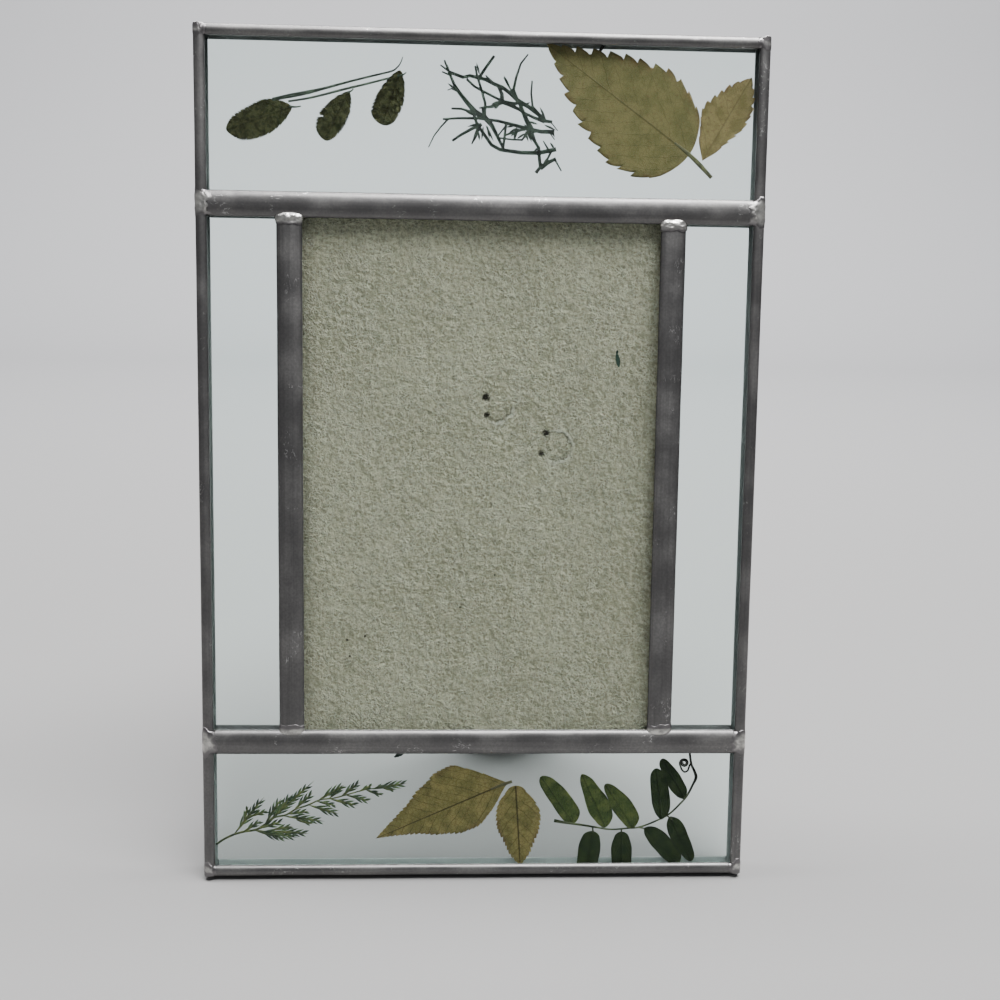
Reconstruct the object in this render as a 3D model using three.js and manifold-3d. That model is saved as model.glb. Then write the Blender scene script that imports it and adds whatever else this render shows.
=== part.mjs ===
import * as THREE from 'three';
import Module from 'manifold-3d';

const wasm = await Module();
wasm.setup();

const deg = THREE.MathUtils.degToRad;

// Overall sizes in millimetres: x to the right, y to the back, z up the frame
const WIDTH = 142;
const HEIGHT = 216;
const LEAN = deg(10);
const CLEAR = 0.15;

// Depth of the sandwich, measured back from the front of the glass
const PANE = 2.3;
const LEAF_GAP = 0.8;
const BACK_PANE = PANE + LEAF_GAP;
const SANDWICH = BACK_PANE + PANE;
const MIDDLE = SANDWICH / 2;
const LEAF_THICK = 0.25;
const FRONT_LAYER = PANE + 0.1;
const BACK_LAYER = FRONT_LAYER + LEAF_THICK + 0.1;

// Lead came: edge strips of U section and inner bars of H section, both with domed faces
const SLOT = SANDWICH + 0.2;
const EDGE_FACE = 2.8;
const EDGE_WEB = 0.9;
const EDGE_LIP = 0.15;
const EDGE_DOME = 0.95;
const BAR_FACE = 6.35;
const BAR_HEART = 1.5;
const BAR_LIP = 0.35;
const BAR_CROWN = 1.7;
const UPPER_BAR = 173.2;
const LOWER_BAR = 36.2;
const UPRIGHT = 48;

const materials = {
  lead: { color: 0x5a5859, roughness: 0.45, metalness: 0.9 },
  solder: { color: 0x8c8b8a, roughness: 0.35, metalness: 0.9 },
  glass: { color: 0xdfece8, roughness: 0.05, metalness: 0, transparent: true, opacity: 0.25 },
  board: { color: 0x96907c, roughness: 0.85, metalness: 0 },
  steel: { color: 0x9a9c9f, roughness: 0.35, metalness: 0.9 },
  oval: { color: 0x40432f, roughness: 0.7, metalness: 0 },
  olive: { color: 0x77724a, roughness: 0.7, metalness: 0 },
  gold: { color: 0x766a35, roughness: 0.7, metalness: 0 },
  green: { color: 0x3c4a2c, roughness: 0.7, metalness: 0 },
  thread: { color: 0x2e382b, roughness: 0.7, metalness: 0 },
};

const group = new THREE.Group();
const assembly = new THREE.Group();
const panel = new THREE.Group();
panel.rotation.x = -LEAN;
assembly.add(panel);
group.add(assembly);

function place(parent, name, geometry, look) {
  const mesh = new THREE.Mesh(geometry, new THREE.MeshStandardMaterial(materials[look]));
  mesh.name = name;
  parent.add(mesh);
  return mesh;
}

// Joining and cutting of closed shapes
function solid(geometry) {
  const bare = geometry.index ? geometry.toNonIndexed() : geometry;
  const source = bare.attributes.position;
  const seen = new Map();
  const points = [];
  const corners = [];
  for (let i = 0; i < source.count; i += 1) {
    const point = [source.getX(i), source.getY(i), source.getZ(i)];
    const key = point.map((value) => Math.round(value * 1e4)).join(',');
    if (!seen.has(key)) {
      seen.set(key, points.length / 3);
      points.push(...point);
    }
    corners.push(seen.get(key));
  }
  const faces = [];
  for (let i = 0; i < corners.length; i += 3) {
    const [a, b, c] = corners.slice(i, i + 3);
    if (a !== b && b !== c && c !== a) faces.push(a, b, c);
  }
  return new wasm.Manifold(new wasm.Mesh({
    numProp: 3,
    vertProperties: new Float32Array(points),
    triVerts: new Uint32Array(faces),
  }));
}

function shell(body) {
  const mesh = body.getMesh();
  const geometry = new THREE.BufferGeometry();
  geometry.setAttribute('position', new THREE.BufferAttribute(new Float32Array(mesh.vertProperties), 3));
  geometry.setIndex(new THREE.BufferAttribute(new Uint32Array(mesh.triVerts), 1));
  return geometry;
}

function joined(geometries) {
  return geometries.map(solid).reduce((whole, piece) => whole.add(piece));
}

function largest(body) {
  const volume = (piece) => piece.volume();
  return body.decompose().sort((a, b) => volume(b) - volume(a))[0];
}

function block(x0, x1, y0, y1, z0, z1) {
  const geometry = new THREE.BoxGeometry(x1 - x0, y1 - y0, z1 - z0);
  return geometry.translate((x0 + x1) / 2, (y0 + y1) / 2, (z0 + z1) / 2);
}

// Lead came sections: across the face and back through the depth, grown by a clearance when cutting
function edgeSection(grow) {
  const steps = 8;
  const slot = SLOT / 2 - grow;
  const inner = EDGE_FACE + grow;
  const web = EDGE_WEB + grow;
  const dome = Array.from({ length: steps + 1 }, (_, i) => {
    const turn = (Math.PI * i) / steps;
    const across = EDGE_FACE / 2 - (EDGE_FACE / 2 + grow) * Math.cos(turn);
    return [across, SLOT / 2 + EDGE_LIP + (EDGE_DOME + grow) * Math.sin(turn)];
  });
  const front = dome.map(([a, d]) => [a, -d]);
  return [...front, [inner, -slot], [web, -slot], [web, slot], [inner, slot], ...dome.reverse()];
}

function barSection(grow) {
  const steps = 8;
  const half = BAR_FACE / 2 + grow;
  const heart = BAR_HEART / 2 + grow;
  const slot = SLOT / 2 - grow;
  const lip = SLOT / 2 + BAR_LIP + grow;
  const rise = BAR_CROWN - BAR_LIP;
  const dome = (side) => Array.from({ length: steps + 1 }, (_, i) => {
    const across = -1 + (2 * i) / steps;
    return [side * across * half, side * (lip + rise * Math.sqrt(1 - 0.96 * across * across) - rise * 0.2)];
  });
  return [
    ...dome(-1), [-half, -slot], [-heart, -slot], [-heart, slot], [-half, slot],
    ...dome(1), [half, slot], [heart, slot], [heart, -slot], [half, -slot],
  ];
}

function strip(section, length) {
  const shape = new THREE.Shape(section.map(([a, d]) => new THREE.Vector2(a, d)));
  return new THREE.ExtrudeGeometry(shape, { depth: length, bevelEnabled: false });
}

const upright = (x, turn, z0, z1, section) => strip(section, z1 - z0)
  .rotateZ(turn).translate(x, MIDDLE, z0);
const across = (z, turn, x0, x1, section) => strip(section, x1 - x0)
  .rotateZ(turn).rotateY(Math.PI / 2).translate(x0, MIDDLE, z);

const EDGE_IN = WIDTH / 2 - EDGE_FACE;
const BAR_END = EDGE_IN - CLEAR;
const UPRIGHT_FOOT = LOWER_BAR + BAR_FACE / 2 + CLEAR;
const UPRIGHT_HEAD = UPPER_BAR - BAR_FACE / 2 - CLEAR;
const came = {
  left_edge: (g) => upright(-WIDTH / 2, 0, -g, HEIGHT + g, edgeSection(g)),
  right_edge: (g) => upright(WIDTH / 2, Math.PI, -g, HEIGHT + g, edgeSection(g)),
  top_edge: (g) => across(HEIGHT, 0, -BAR_END - g, BAR_END + g, edgeSection(g)),
  bottom_edge: (g) => across(0, Math.PI, -BAR_END - g, BAR_END + g, edgeSection(g)),
  upper_bar: (g) => across(UPPER_BAR, 0, -BAR_END - g, BAR_END + g, barSection(g)),
  lower_bar: (g) => across(LOWER_BAR, 0, -BAR_END - g, BAR_END + g, barSection(g)),
  left_upright: (g) => upright(-UPRIGHT, 0, UPRIGHT_FOOT - g, UPRIGHT_HEAD + g, barSection(g)),
  right_upright: (g) => upright(UPRIGHT, 0, UPRIGHT_FOOT - g, UPRIGHT_HEAD + g, barSection(g)),
};
for (const [name, make] of Object.entries(came)) place(panel, `came_${name}`, make(0), 'lead');

// Solder run over every joint: a rounded lump, cut clear of the lead and of the glass slot
const SOLDER_CLEAR = 0.08;
const grown = {};
for (const [name, make] of Object.entries(came)) grown[name] = solid(make(SOLDER_CLEAR));
const OUT = 1.2;
const slotSpace = solid(block(-WIDTH / 2 - OUT, WIDTH / 2 + OUT, -0.15, SANDWICH + 0.15, 0.1, HEIGHT - 0.1));
const edgeSpace = solid(block(-WIDTH / 2 + 0.1, WIDTH / 2 - 0.1, -0.15, SANDWICH + 0.15, -OUT, HEIGHT + OUT));
const innerSpace = slotSpace.intersect(edgeSpace);
const standing = solid(block(-WIDTH, WIDTH, -10, 20, 0.1, HEIGHT + 10));

function lump(name, centre, radii, neighbours) {
  const ball = new THREE.SphereGeometry(1, 14, 6).rotateX(Math.PI / 2);
  let body = solid(ball.scale(...radii).translate(...centre)).intersect(standing).subtract(innerSpace);
  for (const neighbour of neighbours) body = body.subtract(grown[neighbour]);
  place(panel, `solder_${name}`, shell(largest(body)), 'solder');
}

for (const [side, sign] of [['left', -1], ['right', 1]]) {
  const edge = `${side}_edge`;
  const x = sign * (WIDTH - EDGE_FACE) / 2;
  lump(`${side}_top`, [x, MIDDLE, HEIGHT - 1.6], [2.2, 4.7, 2.4], [edge, 'top_edge']);
  lump(`${side}_bottom`, [x, MIDDLE, 2.1], [2.2, 4.7, 2.8], [edge, 'bottom_edge']);
  lump(`${side}_upper`, [x, MIDDLE, UPPER_BAR], [2.1, 4.8, 3.4], [edge, 'upper_bar']);
  lump(`${side}_lower`, [x, MIDDLE, LOWER_BAR], [2, 4.75, 3.2], [edge, 'lower_bar']);
  for (const [face, y] of [['front', -1.3], ['back', SANDWICH + 1.3]]) {
    const bars = [`${side}_upright`];
    lump(`${side}_head_${face}`, [sign * UPRIGHT, y, UPRIGHT_HEAD], [3.5, 1, 1.9], [...bars, 'upper_bar']);
    lump(`${side}_foot_${face}`, [sign * UPRIGHT, y, UPRIGHT_FOOT], [3.3, 0.9, 1.6], [...bars, 'lower_bar']);
  }
}

// Glass panes and the backing board, set in the slots of the came
const SEAT = EDGE_WEB + 0.2;
const HEART = BAR_HEART / 2 + 0.2;
const panes = {
  top: [-WIDTH / 2 + SEAT, WIDTH / 2 - SEAT, UPPER_BAR + HEART, HEIGHT - SEAT],
  bottom: [-WIDTH / 2 + SEAT, WIDTH / 2 - SEAT, SEAT, LOWER_BAR - HEART],
  left: [-WIDTH / 2 + SEAT, -UPRIGHT - HEART, LOWER_BAR + HEART, UPPER_BAR - HEART],
  right: [UPRIGHT + HEART, WIDTH / 2 - SEAT, LOWER_BAR + HEART, UPPER_BAR - HEART],
};
for (const [name, [x0, x1, z0, z1]] of Object.entries(panes)) {
  place(panel, `glass_${name}_front`, block(x0, x1, 0, PANE, z0, z1), 'glass');
  place(panel, `glass_${name}_back`, block(x0, x1, BACK_PANE, SANDWICH, z0, z1), 'glass');
}
const BOARD_BACK = SANDWICH - 0.1;
const WINDOW_HALF = UPRIGHT - HEART;
const inWindow = (y0, y1) => (
  block(-WINDOW_HALF, WINDOW_HALF, y0, y1, LOWER_BAR + HEART, UPPER_BAR - HEART)
);
place(panel, 'glass_window', inWindow(0, PANE), 'glass');
place(panel, 'backing_board', inWindow(BACK_PANE, BOARD_BACK), 'board');

// Pressed plants: flat outlines drawn on the panel, one of two layers between the panes
function pressed(outline, layer) {
  const shape = new THREE.Shape(outline.map(([x, z]) => new THREE.Vector2(x, z)));
  return new THREE.ExtrudeGeometry(shape, { depth: LEAF_THICK, bevelEnabled: false })
    .rotateX(Math.PI / 2).translate(0, layer + LEAF_THICK, 0);
}

function smooth(points, t) {
  const curve = new THREE.SplineCurve(points.map(([x, z]) => new THREE.Vector2(x, z)));
  return curve.getPoint(t);
}

// A stalk: a ribbon along a smooth path, tapering from one width to another
function stalk(points, from, to, steps = (points.length - 1) * 2) {
  const curve = new THREE.SplineCurve(points.map(([x, z]) => new THREE.Vector2(x, z)));
  const left = [];
  const right = [];
  for (let i = 0; i <= steps; i += 1) {
    const at = curve.getPoint(i / steps);
    const along = curve.getTangent(i / steps);
    const half = (from + ((to - from) * i) / steps) / 2;
    left.push([at.x - along.y * half, at.y + along.x * half]);
    right.unshift([at.x + along.y * half, at.y - along.x * half]);
  }
  return [...left, ...right];
}

// A leaf's half width at t along its midrib: smooth through even stations, or an oval with blunt ends
const stations = (widths) => (t) => smooth(widths.map((w, i) => [i, w]), t).y;
const oval = (wide, blunt) => (t) => wide * Math.sqrt(1 - Math.abs(2 * t - 1) ** blunt);

// A leaf: a midrib from base to tip, bowed at its middle, a half width on each side, and forward teeth
function leaf({ base, tip, left, right = left, bow = 0, teeth = 0, bite = 0, steps = 12 }) {
  const [dx, dz] = [tip[0] - base[0], tip[1] - base[1]];
  const length = Math.hypot(dx, dz);
  const [ux, uz] = [dx / length, dz / length];
  const at = (t, out) => {
    const aside = out + bow * Math.sin(Math.PI * t);
    return [base[0] + ux * length * t - uz * aside, base[1] + uz * length * t + ux * aside];
  };
  const smoothEdge = (half, side) => Array.from({ length: steps - 1 }, (_, i) => {
    const t = (1 - Math.cos((Math.PI * (i + 1)) / steps)) / 2;
    return at(t, side * half(t));
  });
  const toothedEdge = (half, side) => Array.from({ length: teeth }, (_, i) => {
    const [t0, t1] = [(i + 0.5) / (teeth + 0.8), (i + 1.35) / (teeth + 0.8)];
    const middle = (t0 + t1) / 2;
    const notch = Math.max(0.3 * half(t0), half(t0) - bite);
    return [at(t0, side * notch), at(middle, side * half(middle)), at(t1, side * half(t1))];
  }).flat();
  const edge = teeth ? toothedEdge : smoothEdge;
  return [base, ...edge(right, -1), tip, ...edge(left, 1).reverse()];
}

// Top panel, left: two green stems and three oval leaflets
const ovalStems = [
  stalk([[-51.5, 199.1], [-45.4, 200.5], [-33.1, 203.6], [-25.8, 205.5], [-21.8, 206.7], [-20.4, 209.3]],
    1.2, 0.4),
  stalk([[-50.3, 198.3], [-43, 199.6], [-36.8, 201], [-30.7, 202.4], [-25, 203.9], [-20.6, 205.7]], 0.9, 0.35),
  stalk([[-49.6, 198.4], [-46.8, 200]], 1, 0.6),
];
const ovalStem = joined(ovalStems.map((outline) => pressed(outline, FRONT_LAYER)));
place(panel, 'sprig_oval_stems', shell(ovalStem), 'green');
const ovalLeaflets = [
  { base: [-46.6, 197.3], tip: [-63.9, 191.5], wide: 4.7, bow: 0.6 },
  { base: [-32.9, 201.3], tip: [-39.8, 189.3], wide: 3.5, bow: -0.8 },
  { base: [-20.2, 206.4], tip: [-24.9, 193.1], wide: 3.6, bow: -0.8 },
];
ovalLeaflets.forEach(({ base, tip, wide, bow }, i) => {
  const outline = leaf({ base, tip, left: oval(wide, 2.2), bow, teeth: 15, bite: 0.35 });
  place(panel, `sprig_oval_leaflet_${i + 1}`, pressed(outline, BACK_LAYER), 'oval');
});

// Top panel, middle: a tangle of thread-like leaves
const threads = [
  { route: [[-9.9, 209.1], [-8.8, 206.3], [-7.5, 203.4], [-6.1, 201.3], [-3.9, 198.7], [-2.2, 196.9],
    [-0.2, 195.6]], from: 0.4, to: 1.5 },
  { route: [[-8.8, 206.3], [-5.3, 205.1], [-3.6, 205.5], [-1.6, 205.1], [0.3, 204.7], [2.6, 203.6],
    [4.5, 202.9], [6.5, 201.5], [8.4, 199.8]], from: 0.8, to: 1 },
  { route: [[-10.9, 207.9], [-8.6, 206.3]], from: 0.35, to: 0.5 },
  { route: [[-10.5, 206.3], [-8.2, 205.4]], from: 0.35, to: 0.5 },
  { route: [[2.4, 210.4], [0.6, 207.9], [-1.1, 205.4]], from: 0.65, to: 0.8 },
  { route: [[-2.3, 207.9], [-1.8, 205.5], [-0.8, 202.6], [0.3, 199], [0.2, 195.8]], from: 0.5, to: 0.75 },
  { route: [[-4.4, 204.7], [-2.5, 203], [0, 201.7], [4.5, 199.6]], from: 0.6, to: 0.65 },
  { route: [[-9.1, 201.9], [-8.1, 202.3], [-6.4, 201.6]], from: 0.25, to: 0.5 },
  { route: [[-8.1, 197.5], [-5.6, 197.5], [-2.8, 196.7]], from: 0.5, to: 0.65 },
  { route: [[-10.2, 194.9], [-6.4, 195.2], [-1.4, 195.3], [3.4, 194.8], [7, 194], [10.4, 193.2],
    [14.3, 192.4], [17.7, 192.4]], from: 0.5, to: 1.1 },
  { route: [[-13.7, 188], [-12.3, 190.9], [-10.6, 193.1], [-8.9, 194.9]], from: 0.25, to: 0.5 },
  { route: [[-7.8, 189.7], [-5.8, 191.1], [-3, 192.7], [-0.5, 193.9]], from: 0.6, to: 0.9 },
  { route: [[-3, 189], [-1.9, 191.4], [-0.8, 194]], from: 0.25, to: 1.1 },
  { route: [[0.3, 205.7], [2.7, 203.5]], from: 0.35, to: 0.6 },
  { route: [[4.8, 205.3], [5.9, 203.4], [7.7, 201.1]], from: 0.25, to: 0.55 },
  { route: [[10.8, 211], [9, 208.7], [7.9, 205.3], [7.3, 202.4], [8.3, 199.8]], from: 0.35, to: 0.9 },
  { route: [[11.9, 204.7], [11.7, 201.6], [12.1, 198.5], [13.5, 196.9],
    [15.7, 194.8]], from: 0.4, to: 0.8 },
  { route: [[8.3, 199.9], [11.2, 198.3], [13.8, 196.4], [15.4, 195], [17.1, 194.8]], from: 1.1, to: 0.8 },
  { route: [[3.4, 203.3], [4.4, 201.3], [4.5, 199.5]], from: 0.7, to: 1.2 },
  { route: [[-1.2, 197.8], [2, 198.2], [4.8, 199.5]], from: 0.4, to: 1.2 },
  { route: [[4.2, 199.6], [6.5, 198.7], [8.7, 197.7], [10.4, 196.7]], from: 1.2, to: 0.6 },
  { route: [[4.5, 199.5], [7.6, 199], [9, 199.4]], from: 0.9, to: 0.8 },
  { route: [[8.7, 199.6], [9.6, 197.4], [10.7, 195], [11.8, 193.1]], from: 0.8, to: 1.4 },
  { route: [[9.8, 197], [12.4, 195.8], [15.2, 194.8]], from: 0.6, to: 0.9 },
  { route: [[0, 195.8], [2, 193.7], [3.4, 191.1], [5.1, 187.8]], from: 1.4, to: 0.6 },
  { route: [[-2.8, 196.9], [-1.6, 193.7], [-0.2, 191.9], [2, 188.9], [4.2, 187.8], [9.3, 187.2],
    [13.8, 187.2], [18.2, 188.2]], from: 0.7, to: 1.1 },
  { route: [[5.6, 194.5], [4.9, 187.8]], from: 0.65, to: 0.6 },
  { route: [[3.4, 190.9], [5.5, 193.7]], from: 0.4, to: 0.4 },
  { route: [[3.7, 190.7], [7.3, 190.3], [9.6, 190.3], [11.5, 192.7]], from: 0.4, to: 0.6 },
  { route: [[5.6, 191.4], [8.2, 192.3], [11, 193.1]], from: 0.45, to: 0.6 },
  { route: [[7.6, 190.3], [8.6, 192.8]], from: 0.5, to: 0.5 },
  { route: [[0, 193.7], [2.6, 190.9]], from: 0.35, to: 0.25 },
  { route: [[11, 193.1], [12.8, 190.1]], from: 1.2, to: 0.9 },
  { route: [[12.6, 190.3], [13.8, 188.5], [14, 186.1], [14.3, 183.8], [13.2, 182.3]], from: 0.8, to: 0.9 },
  { route: [[14.9, 190.2], [16.4, 187.8]], from: 0.3, to: 0.6 },
  { route: [[14.3, 183.5], [16, 184.8], [18.2, 185.9]], from: 1.3, to: 0.8 },
  { route: [[15.3, 184.2], [17, 187.7]], from: 0.5, to: 0.6 },
  { route: [[17.8, 185.9], [19.6, 182.9]], from: 0.5, to: 0.35 },
  { route: [[14.3, 197.7], [15.4, 195]], from: 0.3, to: 0.7 },
  { route: [[16.7, 194.8], [18.5, 192.7]], from: 0.3, to: 0.25 },
  { route: [[16.3, 192.4], [17.8, 190.5]], from: 0.35, to: 0.25 },
];
const tangle = joined(threads.map(({ route, from, to }) => (
  pressed(stalk(route, from, to, route.length - 1), FRONT_LAYER)
)));
place(panel, 'sprig_threads', shell(largest(tangle)), 'thread');

// Top panel, right: a large and a small toothed leaf, and a broken stalk end
const largeLeaf = joined([
  pressed(leaf({
    base: [51.8, 187.6],
    tip: [15.2, 213.8],
    left: stations([3.5, 12.4, 13.5, 11.8, 8.6, 4.2, 0]),
    right: stations([3, 12, 13.3, 11.2, 8, 3.8, 0]),
    teeth: 11,
    bite: 1.4,
  }), FRONT_LAYER),
  pressed(stalk([[50.6, 188.4], [54.3, 185.3], [57.6, 182]], 1.3, 0.9), FRONT_LAYER),
]);
place(panel, 'leaf_large', shell(largeLeaf), 'olive');
const smallLeaf = leaf({
  base: [55.2, 186.2],
  tip: [67.1, 206.8],
  left: stations([0, 3.5, 5.7, 6.6, 5.1, 3.1, 0]),
  right: stations([0, 2.1, 3.8, 4.8, 4.7, 3, 0]),
  teeth: 9,
  bite: 0.8,
});
place(panel, 'leaf_small', pressed(smallLeaf, BACK_LAYER), 'olive');
place(panel, 'stalk_end', pressed(stalk([[26.8, 208.3], [28.4, 211.8], [29.9, 214.1]], 0.6, 0.9), BACK_LAYER), 'oval');

// Bottom panel, left: a feathery sprig, a branching stem set with short pointed blades
const featherStems = [
  [[-68.2, 8.2], [-64.3, 10.5], [-60.2, 12.2], [-55.7, 14.1], [-50.4, 16.1], [-45.9, 18.3],
    [-42.2, 20], [-36.2, 21.2], [-29.4, 22], [-18, 24.7]],
  [[-64.3, 10.5], [-61.1, 14.1], [-58.7, 16.3], [-56.8, 18.8], [-55.5, 21.1]],
  [[-63.2, 11], [-60.2, 12.9], [-57.5, 14.7]],
  [[-55.7, 14.1], [-53.4, 16.4], [-50.4, 18.4], [-47.4, 19.9], [-45.5, 21.7], [-42.9, 24.7]],
  [[-60.2, 12.2], [-54.2, 11.8], [-48.9, 11.5], [-44, 11.5]],
  [[-51.2, 15.8], [-47.4, 15.5], [-43.7, 14.5], [-39.7, 14.5]],
  [[-42.9, 19.6], [-39.2, 21.8], [-36.2, 23.4], [-34.7, 24.5]],
  [[-45.9, 18.3], [-43.7, 18.6], [-39.9, 18], [-36.2, 16.7]],
  [[-36.2, 21.2], [-32.8, 23.2], [-30.7, 24.7]],
  [[-42.2, 20], [-36.2, 20.1], [-31.7, 18.6]],
];
const featherBlades = [
  [-61.1, 14.1, -60.1, 18.4, 0.4], [-59, 15.9, -58.3, 19.4, 0.375], [-58.3, 16.5, -57, 20.3, 0.35],
  [-57.2, 18.3, -55.5, 21.4, 0.4], [-57.7, 17.4, -55.7, 19.4, 0.3], [-60.3, 12.8, -57.7, 15.1, 0.4],
  [-59.4, 13, -56.4, 14.5, 0.375], [-59.4, 15.4, -54.5, 17.3, 0.4], [-53.4, 16.4, -50.8, 20.9, 0.475],
  [-52.3, 17.2, -48.5, 21.5, 0.425], [-50.4, 18.3, -46.3, 22.8, 0.475], [-47.4, 19.9, -45.2, 22.6, 0.35],
  [-45.9, 21.1, -43.7, 24.9, 0.375], [-45.3, 21.5, -42.3, 25.3, 0.4], [-45.7, 21.1, -42.2, 23.6, 0.4],
  [-51.5, 17.5, -45.9, 21.1, 0.75], [-48.5, 19.2, -43.5, 21.1, 0.5], [-53.4, 16.2, -48.9, 17.6, 0.55],
  [-57.2, 11.9, -52.3, 14.7, 0.55], [-54.9, 11.8, -50.2, 14.3, 0.55], [-53.8, 11.8, -48.3, 13, 0.475],
  [-53.8, 11.8, -50.4, 9.7, 0.425], [-49.7, 11.5, -46.5, 9.9, 0.475], [-49.3, 11.5, -45.2, 12.7, 0.425],
  [-47.8, 11.5, -43.7, 11.5, 0.5], [-48.5, 15.7, -43.7, 17, 0.475], [-47, 15.5, -41.8, 15.9, 0.425],
  [-45.5, 14.9, -43.1, 13.6, 0.375], [-43.7, 14.5, -39.3, 14.5, 0.5], [-44, 14.5, -39.9, 13.7, 0.35],
  [-39.2, 21.8, -36.9, 23.8, 0.425], [-38, 22.4, -34.7, 24.5, 0.475], [-38, 22.3, -34.3, 23.3, 0.4],
  [-39.9, 21.3, -36.2, 22.2, 0.375], [-41.4, 18.3, -37.3, 18.6, 0.45], [-40.3, 18.1, -35.8, 16.3, 0.425],
  [-39.9, 18, -36, 17.2, 0.35], [-33.5, 22.7, -30.5, 24.7, 0.4], [-33.9, 22.4, -30.5, 23.8, 0.35],
  [-36.9, 20.1, -33.5, 18.2, 0.3], [-36.2, 20, -31.1, 18.4, 0.425], [-36.5, 20.1, -32.4, 19.4, 0.4],
  [-33.2, 21.4, -27.9, 19.9, 0.375], [-30.2, 21.9, -27.2, 24, 0.425], [-29.4, 22, -23.8, 24.2, 0.5],
  [-27.5, 22.5, -21.7, 22.6, 0.425], [-26.8, 22.6, -24.3, 21, 0.425], [-23.8, 23.2, -20, 24.5, 0.5],
  [-21.5, 23.8, -18, 24.7, 0.525],
];
const BLADE = [0.35, 0.8, 1, 0.75, 0];
const feathery = joined([
  ...featherStems.map((route, i) => stalk(route, i ? 0.7 : 1, 0.4, route.length - 1)),
  ...featherBlades.map(([x0, z0, x1, z1, half]) => {
    const width = stations(BLADE.map((w) => w * half));
    return leaf({ base: [x0, z0], tip: [x1, z1], left: width, steps: 4 });
  }),
].map((outline) => pressed(outline, FRONT_LAYER)));
place(panel, 'sprig_feathery', shell(largest(feathery)), 'green');

// Bottom panel, middle: two gold leaves meeting at their stalks
const goldLying = joined([
  pressed(leaf({
    base: [7.9, 24.2],
    tip: [-26.3, 9.2],
    left: stations([0.5, 5.9, 8, 6.8, 3.9, 1.7, 0]),
    right: stations([0.5, 6.9, 10.5, 9.1, 5.5, 2.8, 0]),
    teeth: 14,
    bite: 0.5,
  }), FRONT_LAYER),
  pressed(stalk([[6, 23.3], [9.6, 24.7]], 1, 0.8), FRONT_LAYER),
]);
place(panel, 'leaf_gold_lying', shell(goldLying), 'gold');
const goldHanging = leaf({
  base: [10.6, 23.4],
  tip: [12.2, 1.2],
  left: stations([1, 4.6, 6.2, 5.7, 4.5, 2.6, 0]),
  right: stations([1, 4.8, 5.7, 5.4, 4.3, 2.7, 0]),
  teeth: 9,
  bite: 0.6,
});
place(panel, 'leaf_gold_hanging', pressed(goldHanging, BACK_LAYER), 'gold');

// Bottom panel, right: a vetch stalk with a coiled tendril, and nine smooth leaflets
const coil = Array.from({ length: 17 }, (_, i) => {
  const turn = deg(250) - (i / 16) * deg(600);
  const r = 1.55 - (i / 16) * 1.05;
  return [55.4 + r * Math.cos(turn), 29.7 + r * Math.sin(turn)];
});
const vetchStalk = joined([
  stalk([[20.7, 14.1], [26.6, 13.2], [33.3, 12.1], [40, 11.8], [45.4, 12.6], [49.4, 14.5], [53.3, 17.3],
    [55.9, 20.9], [58, 24.2], [58.4, 27.2], [56.9, 31.3], [56.4, 33]], 0.6, 0.8),
  stalk([[57.8, 28.9], [57.4, 27.9], [56.2, 27.4], coil[0]], 0.4, 0.4),
  stalk(coil, 0.4, 0.3, 20),
].map((outline) => pressed(outline, FRONT_LAYER)));
place(panel, 'sprig_vetch_stalk', shell(vetchStalk), 'green');
const vetchLeaflets = [
  { base: [27.6, 13.4], tip: [16.8, 26.6], wide: 2.5, layer: BACK_LAYER },
  { base: [35.6, 12], tip: [27.8, 27], wide: 2.75, layer: BACK_LAYER },
  { base: [42.8, 12.7], tip: [33.8, 24.8], wide: 2.8, layer: FRONT_LAYER },
  { base: [31.2, 11.2], tip: [30.2, 1.2], wide: 3, layer: BACK_LAYER, cut: true },
  { base: [38.7, 11], tip: [39.2, 1.2], wide: 2.65, layer: BACK_LAYER, cut: true },
  { base: [49.4, 15.3], tip: [47.4, 28.6], wide: 2.5, layer: FRONT_LAYER },
  { base: [55.9, 20.3], tip: [48.7, 31.2], wide: 2.4, layer: BACK_LAYER },
  { base: [45.7, 11.9], tip: [55.2, 1.9], wide: 2.8, layer: FRONT_LAYER },
  { base: [52, 15.4], tip: [58.5, 2.9], wide: 2.5, layer: BACK_LAYER },
];
const CUT_SHAPE = [0, 0.74, 0.95, 1, 1, 0.95, 0.6];
vetchLeaflets.forEach(({ base, tip, wide, layer, cut }, i) => {
  const left = cut ? stations(CUT_SHAPE.map((w) => w * wide)) : oval(wide, 2.3);
  const outline = leaf({ base, tip, left });
  place(panel, `sprig_vetch_leaflet_${i + 1}`, pressed(outline, layer), 'green');
});

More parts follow.
